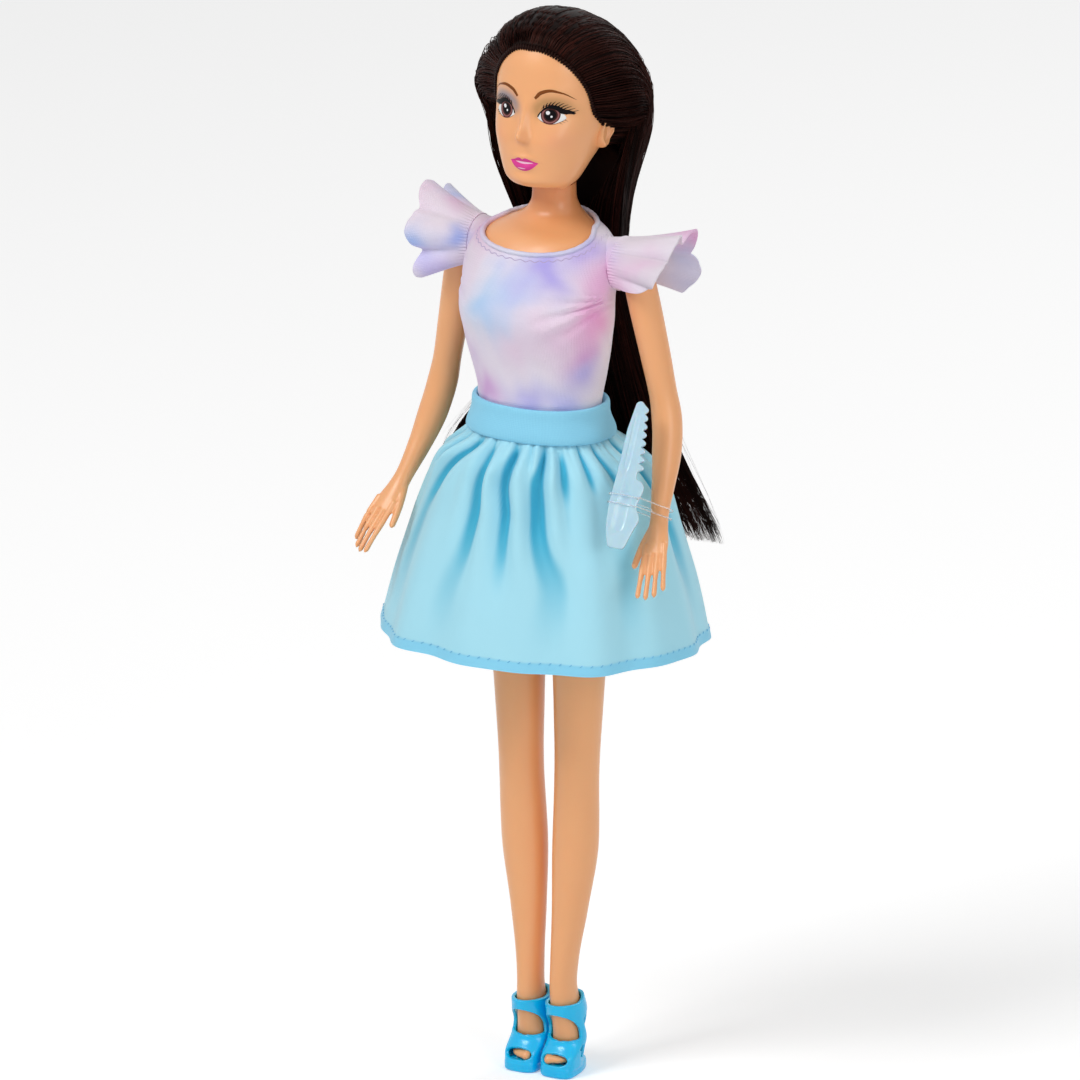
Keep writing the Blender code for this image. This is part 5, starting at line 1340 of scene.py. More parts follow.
def makeTop():
    turns = np.linspace(math.pi, 3 * math.pi, topOf["columns"], endpoint=False)
    share, turn = gridOf(np.linspace(0, 1, topOf["rows"]), turns)
    heights = topOf["bottomZ"] + (necklineZ(turn) - topOf["bottomZ"]) * share
    middle = (topOf["inner"] + topOf["outer"]) / 2
    points = torsoPoints(heights, turn, middle)
    crease = topCrease(*np.moveaxis(points, -1, 0)).clip(-topOf["deepest"], None)
    points += sheetNormals(points, True) * crease[..., None] * (1 - share[..., None] ** 8)
    # the arm holes: vertices near the circle move onto it, faces inside it go
    x, y, z = np.moveaxis(points, -1, 0)
    far = np.hypot(y - axisY, z - shoulderZ)
    beside = np.abs(x) > topOf["armHoleX"]
    near = beside & (np.abs(far - topOf["armHole"]) < topOf["snap"])
    pull = np.where(near, topOf["armHole"] / far, 1.0)
    points[..., 1] = axisY + (y - axisY) * pull
    points[..., 2] = shoulderZ + (z - shoulderZ) * pull
    keep = closedFaces(beside & (far < topOf["armHole"]) & ~near)
    made, index, _ = sheetObject("knitTop", points, topOf["outer"] - topOf["inner"], True, keep=keep)
    around = np.concatenate([np.zeros((topOf["rows"], 1)), np.cumsum(np.linalg.norm(
        np.diff(points, axis=1), axis=2), axis=1)], axis=1)
    around = np.broadcast_to(around[topOf["rows"] // 2], around.shape)
    dressSheet(made, points, (around, points[..., 2]), index)
    finishPiece(made, dyedKnit, "torso", ("top",), 50)


bindingOf = {"up": 0.25, "lift": 1.2, "radius": 0.68, "sides": 16, "around": 260,
             "white": (0.66, 0.74, 0.92), "stitchDown": 1.25, "stitchWave": 0.2,
             "stitchLift": 1.08, "thread": 0.1}


def makeBinding():
    turns = np.linspace(math.pi, 3 * math.pi, bindingOf["around"], endpoint=False)
    path = torsoPoints(necklineZ(turns)[None] + bindingOf["up"], turns[None], bindingOf["lift"])[0]
    sides = bindingOf["sides"]
    points, faces = loopTube(path, bindingOf["radius"] + 0.03 * np.sin(turns * 37), sides)
    made = outward(meshObject("neckBinding", points, faces))
    addColour(made, "dye", dyeColour(points) * 0.6 + np.array(bindingOf["white"]) * 0.4)
    length = np.cumsum(np.linalg.norm(np.roll(path, 1, 0) - path, axis=1))
    addUv(made, np.stack([np.repeat(length, sides), np.tile(np.arange(sides) * 0.24, len(path))], -1))
    finishPiece(made, dyedKnit, "torso", ("neck_binding",))
    # the stitched line just below the binding, a small even wave
    turns = roundTurns(900)
    below = necklineZ(turns) - bindingOf["stitchDown"] + bindingOf["stitchWave"] * np.sin(turns * 52)
    path = torsoPoints(below[None], turns[None], bindingOf["stitchLift"])[0]
    made = outward(meshObject("neckStitching", *loopTube(path, bindingOf["thread"], 6)))
    thread, tree = newMaterial("lilac thread", (0.5, 0.4, 0.62), 0.6, Sheen_Weight=0.2)
    twist = mathNode(tree, "SINE", mathNode(tree, "MULTIPLY", noiseOut(tree, 900.0), 60.0))
    bumpTo(tree, twist, 0.02)
    finishPiece(made, thread, "torso")


capOf = {"hole": 6.25, "swell": 0.55, "outX": 21.7, "wall": 0.45, "rows": 14, "columns": 120}


def makeSleeveCaps():
    # a short cap from the arm hole's edge on the chest out to the frill's seam
    for name, side in bothSides:
        share, turn = gridOf(np.linspace(0, 1, capOf["rows"]), roundTurns(capOf["columns"]))
        y, z = axisY - capOf["hole"] * np.cos(turn), shoulderZ + capOf["hole"] * np.sin(turn)
        wide, front, back = np.moveaxis(smoothRows(torsoRows, (z - crotchZ) / torsoOf["height"]), -1, 0)
        middle, half = (back - front) / 2 * torsoOf["depth"], (back + front) / 2 * torsoOf["depth"] + 0.7
        reach = (np.abs(y - middle) / half).clip(0, 0.98) ** (2 / 0.92)
        edge = (wide * torsoOf["halfWidth"] + 0.6) * (1 - reach) ** 0.46 - 0.3
        x = edge + (capOf["outX"] - edge) * share
        radius = capOf["hole"] + capOf["swell"] * softStep(share, -0.2, 1.0)
        points = np.stack([side * x, axisY - radius * np.cos(turn), shoulderZ + radius * np.sin(turn)], -1)
        points = points[:, ::-side]
        made, index, _ = sheetObject(name + "SleeveCap", points, capOf["wall"], True)
        dressSheet(made, points, (turn * 6.5, share * 3.0), index)
        finishPiece(made, dyedKnit, "torso", (), 50)


frillOf = {"seamX": 21.3, "first": -42.0, "last": 222.0, "radius": 7.0, "spread": 4.6, "thickness": 0.42,
           "flatLength": 62.0, "flatWidth": 17.0, "rows": 48, "columns": 200}
frillSides = (  # side, reach in front, reach behind, spread above, rise of the lower edge, folds
    ("right", -1, 14.6, 14.5, 6.6, 0.0,
     ((-34, 15, 2.3), (-9, 9, -2.6), (20, 17, 2.0), (52, 8, -1.5), (78, 15, 1.9),
      (108, 9, -2.2), (138, 16, 2.0), (170, 9, -2.0), (200, 13, 1.8))),
    ("left", 1, 19.5, 17.5, 3.4, 30.0,
     ((-36, 13, 1.4), (-12, 8, -2.4), (12, 14, 2.4), (40, 9, -2.6), (68, 15, 1.8),
      (98, 9, -1.9), (128, 15, 2.0), (160, 9, -2.0), (192, 14, 1.8))),
)


def makeFrills():
    for name, side, reachFront, reachBack, spreadUp, rise, folds in frillSides:
        place, share = gridOf(np.linspace(0, 1, frillOf["rows"]), np.linspace(0, 1, frillOf["columns"]))
        degrees = frillOf["first"] + (frillOf["last"] - frillOf["first"]) * share
        degrees = degrees + rise * place ** 1.2 * (1 - softStep(share, 0.0, 0.4))
        turn = np.radians(degrees)
        wave = np.zeros(place.shape)
        for middle, wide, height in folds:
            wave += height * bell(degrees - middle, wide)
        grow = place ** 1.15
        edge = 0.4 * np.sin(degrees * 0.16 + side) * place ** 4 + 0.1 * np.sin(degrees * 0.47) * place ** 6
        reach = reachFront + (reachBack - reachFront) * softStep(degrees, 30, 150)
        reach = reach * (0.76 + 0.24 * np.sin(share * math.pi) ** 0.6)
        spread = frillOf["spread"] + (spreadUp - frillOf["spread"]) * np.maximum(np.sin(turn), 0)
        radius = frillOf["radius"] + spread * place ** 1.2 + wave * grow + edge
        gather = 0.22 * np.sin(degrees * 0.9) * np.exp(-place / 0.12)
        x = side * (frillOf["seamX"] + reach * place + 0.45 * wave * place ** 2)
        y = axisY - (radius + gather) * np.cos(turn)
        z = shoulderZ + (radius + gather) * np.sin(turn) - 0.6 * place ** 2
        points = np.stack([x, y, z], -1)[:, ::-side]
        made, index, _ = sheetObject(name + "SleeveFrill", points, frillOf["thickness"])
        along = np.linspace(0, frillOf["flatLength"], frillOf["columns"])
        dressSheet(made, points, (along, place * frillOf["flatWidth"]), index)
        finishPiece(made, dyedKnit, name + "_arm", (name + "_sleeve_frill",), 50)


bandOf = {"lift": 1.2, "half": 1.05, "halfHeight": 4.55, "power": 0.72, "flare": 1.3, "length": 105.0,
          "around": 240, "section": 40}


def bandMaterial():
    made, tree = newMaterial("pale blue rib knit", (0.235, 0.6, 0.84), 0.62, Sheen_Weight=0.2,
                             Sheen_Roughness=0.4, Specular_IOR_Level=0.35)
    # painted shade in the ribs: the low parts of the relief run to the darker blue, the high parts to the
    # lighter one
    share = ranged(tree, knitBump(tree, 0.36, 0.035), 0.55, 0.0, -0.5, 1.2)
    shade = mixColour(tree, share, (0.29, 0.7, 0.91, 1), (0.19, 0.57, 0.82, 1))
    toShader(tree, shade, "Base Color")
    return made


def makeWaistband():
    ribKnit = bandMaterial()
    turns = np.linspace(math.pi, 3 * math.pi, bandOf["around"], endpoint=False)
    turn, angle = gridOf(turns, roundTurns(bandOf["section"]))
    out = bandOf["lift"] + bandOf["half"] * (1 + signedPower(np.cos(angle), bandOf["power"]))
    heights = bandTopZ - bandOf["halfHeight"] * (1 - signedPower(np.sin(angle), bandOf["power"]))
    out += bandOf["flare"] * softStep(bandTopZ - heights, 2.0, 9.0)
    out += 0.1 * np.sin(turn * 3 + 1) * np.sin(angle) + 0.05 * np.sin(turn * 11)
    points = torsoPoints(heights, turn, 0.0)
    normal = torsoPoints(heights, turn, 1.0) - points
    points = points + normal * out[..., None]
    made = outward(meshObject("waistBand", points.reshape(-1, 3), ringFaces(*turn.shape)))
    length = np.linspace(0, bandOf["length"], bandOf["around"])
    addUv(made, np.stack([np.repeat(length, bandOf["section"]), heights.ravel()], -1))
    finishPiece(made, ribKnit, "torso", ("waistband",))
    # the tab behind the band and the closure tape down the back of the top
    tape, tree = newMaterial("lilac hook tape", (0.7, 0.66, 0.8), 0.7, Sheen_Weight=0.15)
    grid = addNode(tree, "ShaderNodeTexVoronoi", None, Vector=objectPlace(tree), Scale=1500.0)
    bumpTo(tree, grid.outputs["Distance"], 0.12)
    mottle(tree, 500.0, 3.0, (0.74, 0.7, 0.84), (0.62, 0.58, 0.74))
    for label, z0, z1, halfWidth, lift, replaced, slot, material in (
            ("bandTab", bandTopZ - 7.6, bandTopZ - 1.2, 3.5, 3.45, "waistband_tab", "band_knit", ribKnit),
            ("backClosure", 188.0, 224.0, 2.5, 1.55, "top_closure", "closure_tape", tape)):
        z, across = gridOf(np.linspace(z0, z1, 60), np.linspace(-1, 1, 24))
        middle = torsoPoints(z, np.full(z.shape, math.pi), lift)
        points = np.stack([across * halfWidth, middle[..., 1] - 0.012 * (across * halfWidth) ** 2, z], -1)
        points = points[:, ::-1]
        made, index, _ = sheetObject(label, points, 0.7)
        addUv(made, points[..., [0, 2]].reshape(-1, 2)[index])
        finishPiece(made, material, "torso", (replaced,), 50)


# height share of 57.8 mm, half width share of 44.3 mm, depth to width, how much the folds stand
skirtRows = (
    (0.0, 0.415, 0.755, 0.4), (0.06, 0.495, 0.78, 0.75), (0.15, 0.62, 0.8, 1.0), (0.29, 0.722, 0.8, 1.0),
    (0.47, 0.815, 0.8, 0.85), (0.72, 0.914, 0.805, 0.7), (1.0, 1.0, 0.81, 0.6),
)
skirtOf = {"halfWidth": 44.3, "thickness": 0.4, "rows": 100, "columns": 480, "shiftX": -1.5, "shiftY": -1.6,
           "topY": 0.4, "tuck": 0.045, "hem": 2.7, "hemSwell": 0.22, "stitches": 98, "thread": 0.13,
           "twill": 0.34, "flatRadius": 33.0, "flatHeight": 60.0}
# valleys: depth, width in degrees, place where it ends, then turns at 0.05, 0.2, 0.35 and 0.65 down
skirtValleys = (
    (2.3, 6.0, 0.42, (-30, -44, -50, -54)), (2.2, 4.6, 0.78, (-15, -14, -12, -11)),
    (3.0, 4.6, 0.86, (5, 1, 3.5, 3.5)), (3.2, 4.4, 0.74, (26, 21, 20, 27)),
    (1.6, 3.2, 0.26, (16, 15, 15, 15)), (2.0, 4.2, 0.3, (37, 35, 34, 34)),
    (1.6, 3.6, 0.24, (53, 52, 50, 50)), (1.8, 4.5, 0.36, (66, 70, 74, 78)),
    (1.6, 3.4, 0.28, (-48, -60, -66, -70)), (2.0, 5.0, 0.7, (-66, -78, -84, -86)),
    (2.4, 5.0, 0.8, (92, 96, 99, 100)), (2.2, 5.0, 0.55, (112, 118, 121, 122)),
    (2.7, 5.0, 0.85, (136, 139, 141, 142)), (2.0, 4.0, 0.45, (154, 156, 157, 158)),
    (2.7, 5.0, 0.8, (176, 178, 179, 180)), (2.0, 4.0, 0.4, (196, 196, 196, 196)),
    (2.8, 5.2, 0.88, (216, 214, 212, 212)), (2.0, 4.0, 0.5, (234, 232, 231, 230)),
    (2.5, 5.0, 0.75, (254, 250, 248, 246)),
)


def skirtPoint(place, turn):
    # ellipse rows through skirtRows, plus folds along the outward direction
    wide, deep, stand = np.moveaxis(smoothRows(skirtRows, place), -1, 0)
    halfWidth = wide * skirtOf["halfWidth"]
    degrees = np.degrees(turn)
    folds = np.zeros(np.broadcast(place, turn).shape)
    for depth, width, end, turns in skirtValleys:
        middle = smoothRows([(p, t) for p, t in zip((0.05, 0.2, 0.35, 0.65), turns)], place)[..., 0]
        gap = (degrees - middle + 180) % 360 - 180
        spreadOut = width * (0.75 + 0.9 * place)
        fade = softStep(place, 0.0, 0.1) * (1 - softStep(place, end * 0.45, end))
        valley = depth * bell(gap, spreadOut)
        folds -= valley * (0.3 + 0.7 * fade) * (1 - softStep(place, 0.5, 1.0))
        for beside in (-1.9, 1.9):
            folds += 0.42 * depth * bell(gap + spreadOut * beside, spreadOut) * fade
    broad = (0.95 * np.cos(9 * turn - 0.5) + 0.65 * np.cos(14 * turn + 1.1 + 0.8 * place)
             + 0.4 * np.cos(5 * turn + 2))
    folds += broad * softStep(place, 0.1, 0.85)
    fine = np.cos(47 * turn + 2.0 * np.sin(5 * turn)) + 0.6 * np.cos(71 * turn + 1.3 * np.sin(7 * turn))
    folds += 0.34 * fine * np.exp(-(np.abs(place) / 0.085) ** 1.4)
    kink = np.exp(-((degrees - 74) / 7.0) ** 2 - ((place - 0.27) / 0.05) ** 2)
    folds -= 1.3 * kink
    folds *= 0.55 + 0.45 * stand
    sag = 0.6 * np.cos(4 * turn + 1.0) * softStep(place, 0.6, 1.0)
    x = skirtOf["shiftX"] * place + (halfWidth + folds) * np.sin(turn)
    topY = skirtOf["topY"]
    middle = topY + (axisY + skirtOf["shiftY"] * place - topY) * softStep(place, -0.05, 0.4)
    y = middle - (halfWidth * deep + folds) * np.cos(turn)
    z = skirtTopZ - place * (skirtTopZ - skirtHemZ) + 0.2 + sag * 0.5
    return np.stack([x, y, z], -1), folds


def skirtMaterial():
    made, tree = newMaterial("sky blue twill", (0.36, 0.74, 0.9), 0.55, Sheen_Weight=0.35,
                             Sheen_Roughness=0.35, Specular_IOR_Level=0.35)
    split, step = uvOf(tree), 2 * math.pi / skirtOf["twill"]
    diagonal = mathNode(tree, "ADD", mathNode(tree, "MULTIPLY", split[0], step),
                        mathNode(tree, "MULTIPLY", split[1], step * 1.3))
    weave = mathNode(tree, "SINE", diagonal)
    thread = mathNode(tree, "SINE", mathNode(tree, "MULTIPLY", split[1], step * 2.2))
    height = mathNode(tree, "MULTIPLY_ADD", thread, 0.3, mathNode(tree, "MULTIPLY", weave, 0.5))
    height = mathNode(tree, "MULTIPLY_ADD", noiseOut(tree, 1500.0), 0.5, height)
    bumpTo(tree, height, 0.03)
    # painted shade: the fold valleys run to a deep blue, the rest of the cloth stays light blue
    shade = mixColour(tree, attributeOf(tree, "foldShade"), (0.43, 0.82, 0.96, 1), (0.06, 0.5, 0.72, 1))
    shade = mixColour(tree, attributeOf(tree, "hem"), shade, (0.27, 0.71, 0.95, 1))
    cloudy = ranged(tree, noiseOut(tree, 90.0, 2.0), 0.0, 0.25)
    shade = mixColour(tree, cloudy, shade, (0.78, 0.92, 0.97, 1), "MULTIPLY")
    toShader(tree, shade, "Base Color")
    return made


def makeSkirt():
    twill = skirtMaterial()
    thread, tree = newMaterial("blue thread", (0.14, 0.52, 0.82), 0.5, Sheen_Weight=0.2)
    bumpTo(tree, noiseOut(tree, 3000.0), 0.02)
    rows, columns = skirtOf["rows"], skirtOf["columns"]
    height = skirtTopZ - skirtHemZ
    even = np.linspace(-skirtOf["tuck"], 1, rows)
    place, turn = gridOf(even, roundTurns(columns))
    points, folds = skirtPoint(place, turn)
    hemShare = softStep(place, 1 - (skirtOf["hem"] + 0.25) / height, 1 - (skirtOf["hem"] - 0.25) / height)
    normals = -sheetNormals(points, True)
    points = points + normals * skirtOf["hemSwell"] * hemShare[..., None]
    # painted shade in the valleys: a valley is darker by the folds less their mean over the neighbours on
    # both sides
    near = sum(np.roll(folds, shift, 1) for shift in (14, -14, 28, -28)) / 4
    tone = softStep(near - folds, 0.05, 1.7) * (1 - softStep(place, 0.35, 0.95))
    uv = np.stack([turn * skirtOf["flatRadius"], place * skirtOf["flatHeight"]], -1)
    seam = uv[:, :1] + (2 * math.pi * skirtOf["flatRadius"], 0)
    grids = [np.concatenate([grid, grid[:, :1]], axis=1) for grid in (points, normals, tone, hemShare)]
    grids.append(np.concatenate([uv, seam], axis=1))
    turns = (np.arange(skirtOf["stitches"]) + 0.5) / skirtOf["stitches"] * 2 * math.pi
    half = columns // 2
    for name, side, chosen in (("left", 1, slice(0, half + 1)), ("right", -1, slice(half, columns + 1))):
        sheet, outside, foldShade, hems, places = [grid[:, chosen][:, ::-1] for grid in grids]
        made, index, facing = sheetObject(name + "Skirt", sheet, skirtOf["thickness"], False, outside)
        addUv(made, places.reshape(-1, 2)[index])
        addValue(made, "foldShade", foldShade.reshape(-1)[index])
        addValue(made, "hem", hems.reshape(-1)[index])
        finishPiece(made, twill, None, ("skirt",) if side > 0 else ())
        made.data.normals_split_custom_set_from_vertices(facing.tolist())
        # slanted hem stitches: short round-ended bars that lie on the cloth
        mine = turns[(turns < math.pi) if side > 0 else (turns > math.pi)]
        ends = []
        for shift, down in ((-0.36, -0.28), (0.36, 0.28)):
            level = np.full(mine.shape, 1 - (skirtOf["hem"] + down) / height)
            ends.append(skirtPoint(level, mine + shift / 40.0)[0])
        out = np.stack([np.sin(mine), -np.cos(mine) * 1.1, 0 * mine], -1)
        step = np.linspace(0, 1, 6)[None, :, None]
        path = ends[0][:, None] * (1 - step) + ends[1][:, None] * step
        path = path + out[:, None] * (0.34 + 0.14 * np.sin(step * math.pi))
        rounded = np.sqrt(np.sin(math.pi * (0.06 + 0.88 * step[..., 0])))
        radius = np.broadcast_to(skirtOf["thread"] * rounded, path.shape[:2])
        stitches = outward(meshObject(name + "HemStitches", *tubeParts(path, radius, 6)))
        finishPiece(stitches, thread, None)
        for piece in (made, stitches):
            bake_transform(piece)


makeTop()
makeBinding()
makeSleeveCaps()
makeFrills()
makeWaistband()
makeSkirt()
print("clothes ready")


# Sandals, comb and ties

sandalOf = {"centreX": 5.44, "halfWidth": 4.75, "toe": 3.6, "heel": 11.2, "power": 0.7, "ballY": 3.8,
            "inner": 0.45, "outer": 1.45, "topZ": 19.6, "backRise": 1.5, "wallZ": 2.3, "voxel": 0.185}
soleRows = ((0.0, 0.93), (0.35, 0.985), (0.8, 1.0), (2.3, 1.0), (2.9, 0.97), (3.2, 0.9))  # height, size
sideWindows = (
    ((5.0, 14.9), (9.3, 16.6), (9.5, 10.2), (6.7, 9.4)),
    ((3.2, 8.0), (6.6, 7.3), (5.2, 4.3), (3.5, 4.7)),
)


def evenRing(outline, count, rounds):
    # even steps along a closed flat outline, then rounds of rounding
    closed = np.concatenate([outline, outline[:1]])
    length = np.concatenate([[0], np.cumsum(np.linalg.norm(np.diff(closed, axis=0), axis=1))])
    wanted = np.linspace(0, length[-1], count, endpoint=False)
    ring = np.stack([np.interp(wanted, length, closed[:, axis]) for axis in range(2)], -1)
    for _ in range(rounds):
        ring = (np.roll(ring, 1, 0) + 2 * ring + np.roll(ring, -1, 0)) / 4
    return ring


def inPolygon(y, z, corners):
    # inside a convex polygon: on the same side of each of its edges
    first, last = np.array(corners), np.roll(np.array(corners), -1, 0)
    sides = [(b[0] - a[0]) * (z - a[1]) - (b[1] - a[1]) * (y - a[0]) for a, b in zip(first, last)]
    return (np.min(sides, axis=0) > 0) | (np.max(sides, axis=0) < 0)


def sandalOpen(points, turns):
    # where the moulded upper is open: instep arch, peep toe, two windows on each side
    degrees = np.degrees((turns + math.pi) % (2 * math.pi) - math.pi)
    y, z = points[..., 1], points[..., 2]
    arch = 9.4 + 7.5 * np.sqrt((1 - (degrees / 82.0) ** 2).clip(0, 1))
    opened = (np.abs(degrees) < 76) & (z > 9.4 + 0.4 * (degrees / 60.0) ** 2) & (z < arch)
    opened |= (degrees / 50.0) ** 2 + ((z - 4.75 + 0.1 * np.abs(degrees) / 50) / 1.35) ** 2 < 1
    for window in sideWindows:
        opened |= (np.abs(np.sin(turns)) > 0.2) & inPolygon(y, z, window)
    return opened


def soleOutline(turns, side, size, power):
    # a superellipse with its own reach to toe and heel, narrower behind, scaled about the ball
    cosine = np.cos(turns)
    reach = np.where(cosine > 0, sandalOf["toe"], sandalOf["heel"])
    wide = sandalOf["halfWidth"] * (1 - 0.2 * np.maximum(-cosine, 0)) * signedPower(np.sin(turns), power)
    ballY = sandalOf["ballY"]
    return (side * sandalOf["centreX"] + wide * size,
            ballY + size * (-reach * signedPower(cosine, power) - ballY))


def makeSandals():
    glossy, tree = newMaterial("glossy sky vinyl", (0.0, 0.55, 0.93), 0.26, Coat_Weight=0.15,
                               Coat_Roughness=0.08, Specular_IOR_Level=0.4, Subsurface_Weight=0.1,
                               Subsurface_Scale=0.001)
    mottle(tree, 260.0, 2.0, (0.0, 0.58, 0.96), (0.0, 0.49, 0.9))
    variedRoughness(tree, 600.0, 0.16, 0.3)
    bumpTo(tree, noiseOut(tree, 420.0, 2.0), 0.05)
    for name, side in bothSides:
        share, turns = gridOf(np.linspace(0, 1, 130), roundTurns(260))
        top = sandalOf["topZ"] + sandalOf["backRise"] * softStep(-np.cos(turns), -0.1, 1.0)
        heights = sandalOf["wallZ"] + (top - sandalOf["wallZ"]) * share
        middle = (sandalOf["inner"] + sandalOf["outer"]) / 2
        flare = 0.9 * softStep(-np.cos(turns), 0.3, 1.0) * bell(heights - 5.0, 4.0)
        points = legPoints(np.maximum(heights, 3.7), turns, side, middle)
        points[..., 2] = heights
        points[..., 1] += flare
        low = 0.96 * softStep(-heights, -9.6, -4.2)
        soleX, soleY = soleOutline(turns, side, 0.94, 0.8)
        points[..., 0] += (soleX - points[..., 0]) * low
        points[..., 1] += (soleY - points[..., 1]) * low * np.where(np.cos(turns) > 0, 1.0, 0.55)
        keep = closedFaces(sandalOpen(points, turns))
        thickness = sandalOf["outer"] - sandalOf["inner"]
        wall = outward(sheetObject("wall", points, thickness, True, keep=keep)[0])
        turn = roundTurns(120)
        rings = [(*soleOutline(turn, side, size, sandalOf["power"]), np.full(turn.shape, z))
                 for z, size in soleRows]
        sole = np.moveaxis(np.array(rings), 1, -1)
        wallFaces = [list(polygon.vertices) for polygon in wall.data.polygons]
        parts = [(vertexPlaces(wall), wallFaces), closedLoft(sole)]
        made = outward(joinParts(name + "SandalShell", parts))
        bpy.data.objects.remove(wall)
        remesh(made, sandalOf["voxel"], 4)
        finishPiece(made, glossy, name + "_leg", (name + "_sandal",))


combOf = {"length": 39.2, "halfWidth": 4.3, "thickness": 1.9, "teeth": 8, "twist": 30.0, "lean": (3.8, 27.4),
          "foot": (3.6, 16.0, 5.0)}
combHandle = (
    (-0.62, 0.01), (-0.5, 0.0), (0.3, 0.0), (0.42, 0.012), (0.72, 0.115), (1.02, 0.205), (1.0, 0.235),
    (0.72, 0.285), (0.74, 0.315), (0.98, 0.405), (0.97, 0.44), (0.8, 0.465), (0.44, 0.48),
)
combBack = (
    (0.02, 1.0), (-0.16, 1.0), (-0.34, 0.985), (-0.62, 0.8), (-0.78, 0.5), (-0.95, 0.3), (-0.92, 0.15),
    (-0.76, 0.06),
)


def combFrame():
    wrist = armPlaces(1)[2]
    up = -armDirection(1, *combOf["lean"])
    twist = math.radians(combOf["twist"])
    across = np.array([math.cos(twist), math.sin(twist), 0.0])
    across -= up * (across @ up)
    across /= np.linalg.norm(across)
    return wrist, up, across, np.cross(across, up), wrist - np.array(combOf["foot"])


def makeComb():
    wrist, up, across, through, bottom = combFrame()
    share = np.linspace(0, 1, combOf["teeth"] * 14 + 1)
    lean = 1 - 0.45 * share
    bump = 0.5 - 0.5 * np.cos(share * combOf["teeth"] * 2 * math.pi)
    teeth = np.stack([(0.42 + 0.4 * bump ** 0.5) * lean, 0.53 + share * (0.975 - 0.53)], -1)
    outline = np.concatenate([np.array(combHandle), teeth, np.array(combBack)])
    outline *= (combOf["halfWidth"], combOf["length"])
    ring = evenRing(outline, 520, 5)
    tangent = unit(np.roll(ring, -1, 0) - np.roll(ring, 1, 0))
    inward = np.stack([-tangent[:, 1], tangent[:, 0]], -1)
    half = combOf["thickness"] / 2
    rows = [(0.42, -half), (0.16, -half * 0.93), (0.0, -half * 0.66), (0.0, half * 0.66),
            (0.16, half * 0.93), (0.42, half)]
    points = np.array([bottom + (ring[:, :1] + inward[:, :1] * inset) * across
                       + (ring[:, 1:] + inward[:, 1:] * inset) * up + through * depth
                       for inset, depth in rows])
    count = len(ring)
    faces = gridFaces(len(rows), count, True).tolist()
    faces += [list(range(count))[::-1], list(range(count * (len(rows) - 1), count * len(rows)))]
    made = outward(meshObject("combBody", points.reshape(-1, 3), faces))
    # the channel along the toothed head and the sunk panel of the handle, on both faces
    tools = []
    for face in (-1, 1):
        for line, wide in ((((-0.3, 0.5), (-0.1, 0.93)), 1.05), (((-0.2, 0.1), (-0.05, 0.4)), 1.9)):
            ends = [bottom + across * a * combOf["halfWidth"] + up * u * combOf["length"]
                    + through * face * (half + 0.3) for a, u in line]
            step = np.linspace(0, 1, 30)
            path = np.array([ends[0] * (1 - s) + ends[1] * s for s in step])
            rounded = np.sqrt((1 - (2 * step - 1) ** 6).clip(0.02, 1))
            turn = roundTurns(28)[None, :, None]
            shape = np.cos(turn) * across * wide + np.sin(turn) * through * 0.62
            tools.append(meshObject("channel", *closedLoft(path[:, None] + shape * rounded[:, None, None])))
    cut(made, tools)
    clear, tree = newMaterial("pale blue clear plastic", (0.5, 0.76, 0.9), 0.2, IOR=1.46,
                              Transmission_Weight=0.12, Coat_Weight=0.4, Coat_Roughness=0.1,
                              Subsurface_Weight=0.25, Subsurface_Scale=0.003)
    mottle(tree, 180.0, 3.0, (0.44, 0.7, 0.88), (0.6, 0.84, 0.93))
    variedRoughness(tree, 500.0, 0.14, 0.3)
    bumpTo(tree, noiseOut(tree, 300.0), 0.05)
    finishPiece(made, clear, "left_arm", ("comb",), 35)
    makeTies(wrist, up, across, through, bottom)


def hullOf(points):
    # the convex outline of flat points, anticlockwise
    points = sorted(map(tuple, points))

    def half(order):
        chain = []
        for p in order:
            while len(chain) > 1 and ((chain[-1][0] - chain[-2][0]) * (p[1] - chain[-2][1])
                                      - (chain[-1][1] - chain[-2][1]) * (p[0] - chain[-2][0])) <= 0:
                chain.pop()
            chain.append(p)
        return chain[:-1]

    return np.array(half(points) + half(points[::-1]))


tieOf = {"steps": 200, "wrist": 2.95, "slack": 0.25, "corner": 0.45, "radius": 0.17, "sides": 10,
         "tail": 2.6, "heights": (0.0, 2.2)}


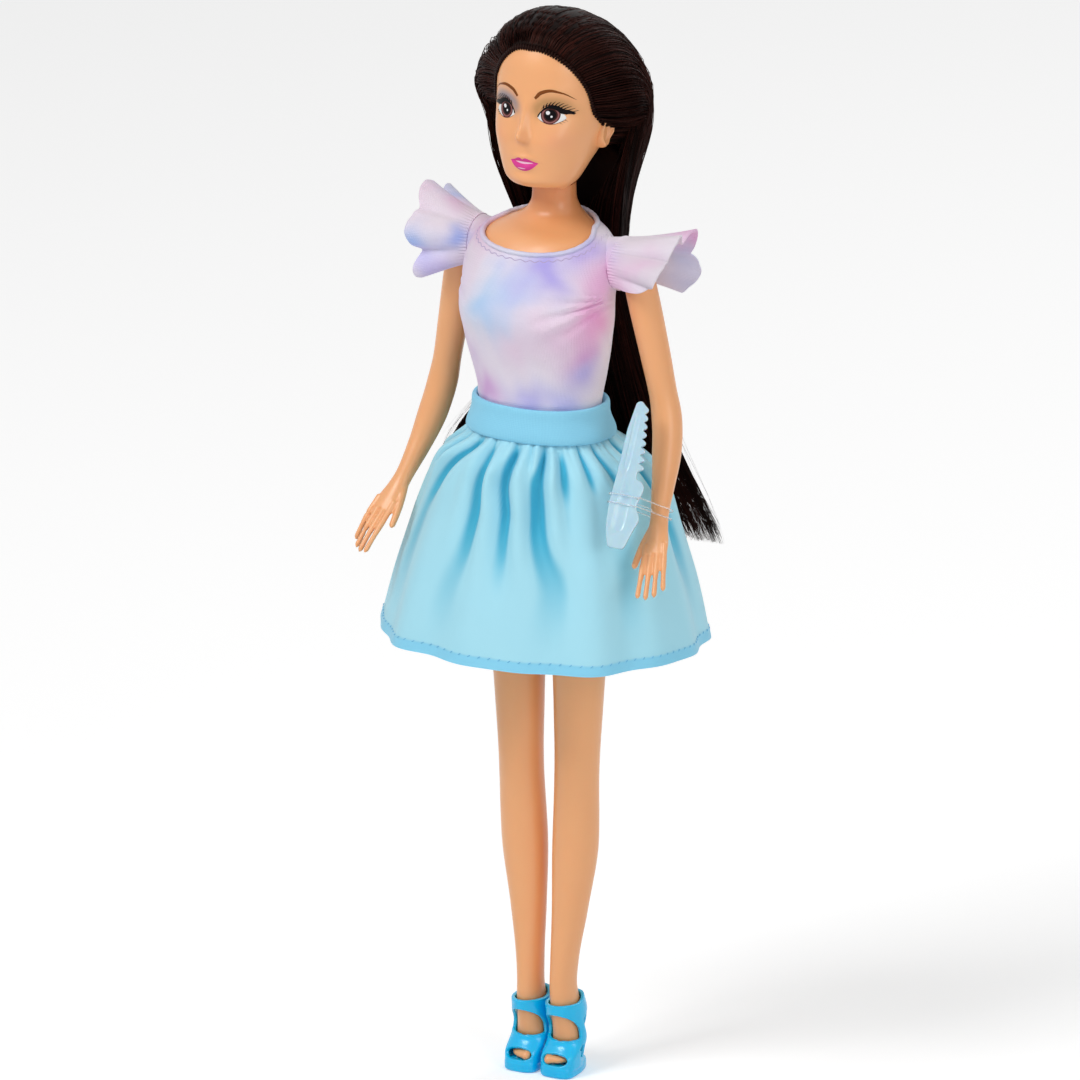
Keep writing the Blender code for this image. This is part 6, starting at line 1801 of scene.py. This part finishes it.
def makeTies(wrist, up, across, through, bottom):
    # each tie is pulled tight round the wrist and the comb: a hull of the wrist's circle and the
    # comb's corners at that height, with a thin end sticking out of its knot
    clear, tree = newMaterial("clear tie", (0.93, 0.95, 0.97), 0.12, Transmission_Weight=0.8, IOR=1.45)
    variedRoughness(tree, 900.0, 0.08, 0.2)
    bumpTo(tree, noiseOut(tree, 700.0), 0.03)
    for number, height in enumerate(tieOf["heights"], 1):
        middle = wrist + up * height
        turn = roundTurns(60)
        circle = np.stack([np.cos(turn), np.sin(turn)], -1) * (tieOf["wrist"] + tieOf["slack"])
        level = (middle - bottom) @ up
        corners = []
        for a in (-0.93, 0.78):
            for b in (-0.5, 0.5):
                place = (bottom + up * level + across * a * combOf["halfWidth"]
                         + through * b * combOf["thickness"] - middle)
                corner = np.array([place @ across, place @ through])
                corners += [corner + tieOf["corner"] * np.array([math.cos(t), math.sin(t)])
                            for t in np.linspace(0, 6.28, 12)]
        hull = hullOf(np.concatenate([circle, np.array(corners)]))
        ring = evenRing(hull, tieOf["steps"], 4)
        path = middle + ring[:, :1] * across + ring[:, 1:] * through
        path = path + up * (0.25 * np.sin(roundTurns(tieOf["steps"]) + number))[:, None]
        loop = loopTube(path, tieOf["radius"], tieOf["sides"])
        knot = path[120 + 20 * number]
        away = knot - middle
        away /= np.linalg.norm(away)
        step = np.linspace(0, 1, 12)[:, None]
        end = knot + away * tieOf["tail"] * step + up * (1.5 * step ** 2 * (1.5 - number))
        tail = tubeParts(end[None], np.full((1, 12), 0.15), 8)
        made = outward(joinParts("wristTie%d" % number, [loop, tail]))
        finishPiece(made, clear, "left_arm", ("wrist_tie_%d" % number,))


def finishJoints():
    # the knob in the neck and the pin through the hips stay as they are, in ivory plastic
    ivory, tree = newMaterial("ivory joint plastic", (0.7, 0.62, 0.5), 0.45)
    mottle(tree, 300.0, 3.0, (0.72, 0.64, 0.52), (0.62, 0.54, 0.43))
    bumpTo(tree, noiseOut(tree, 1500.0), 0.02)
    for name in ("neck_knob", "hip_axle"):
        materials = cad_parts[name].data.materials
        if not materials:
            materials.append(ivory)
        for slot in range(len(materials)):
            materials[slot] = ivory


makeSandals()
makeComb()
finishJoints()
print("sandals, comb and ties ready")
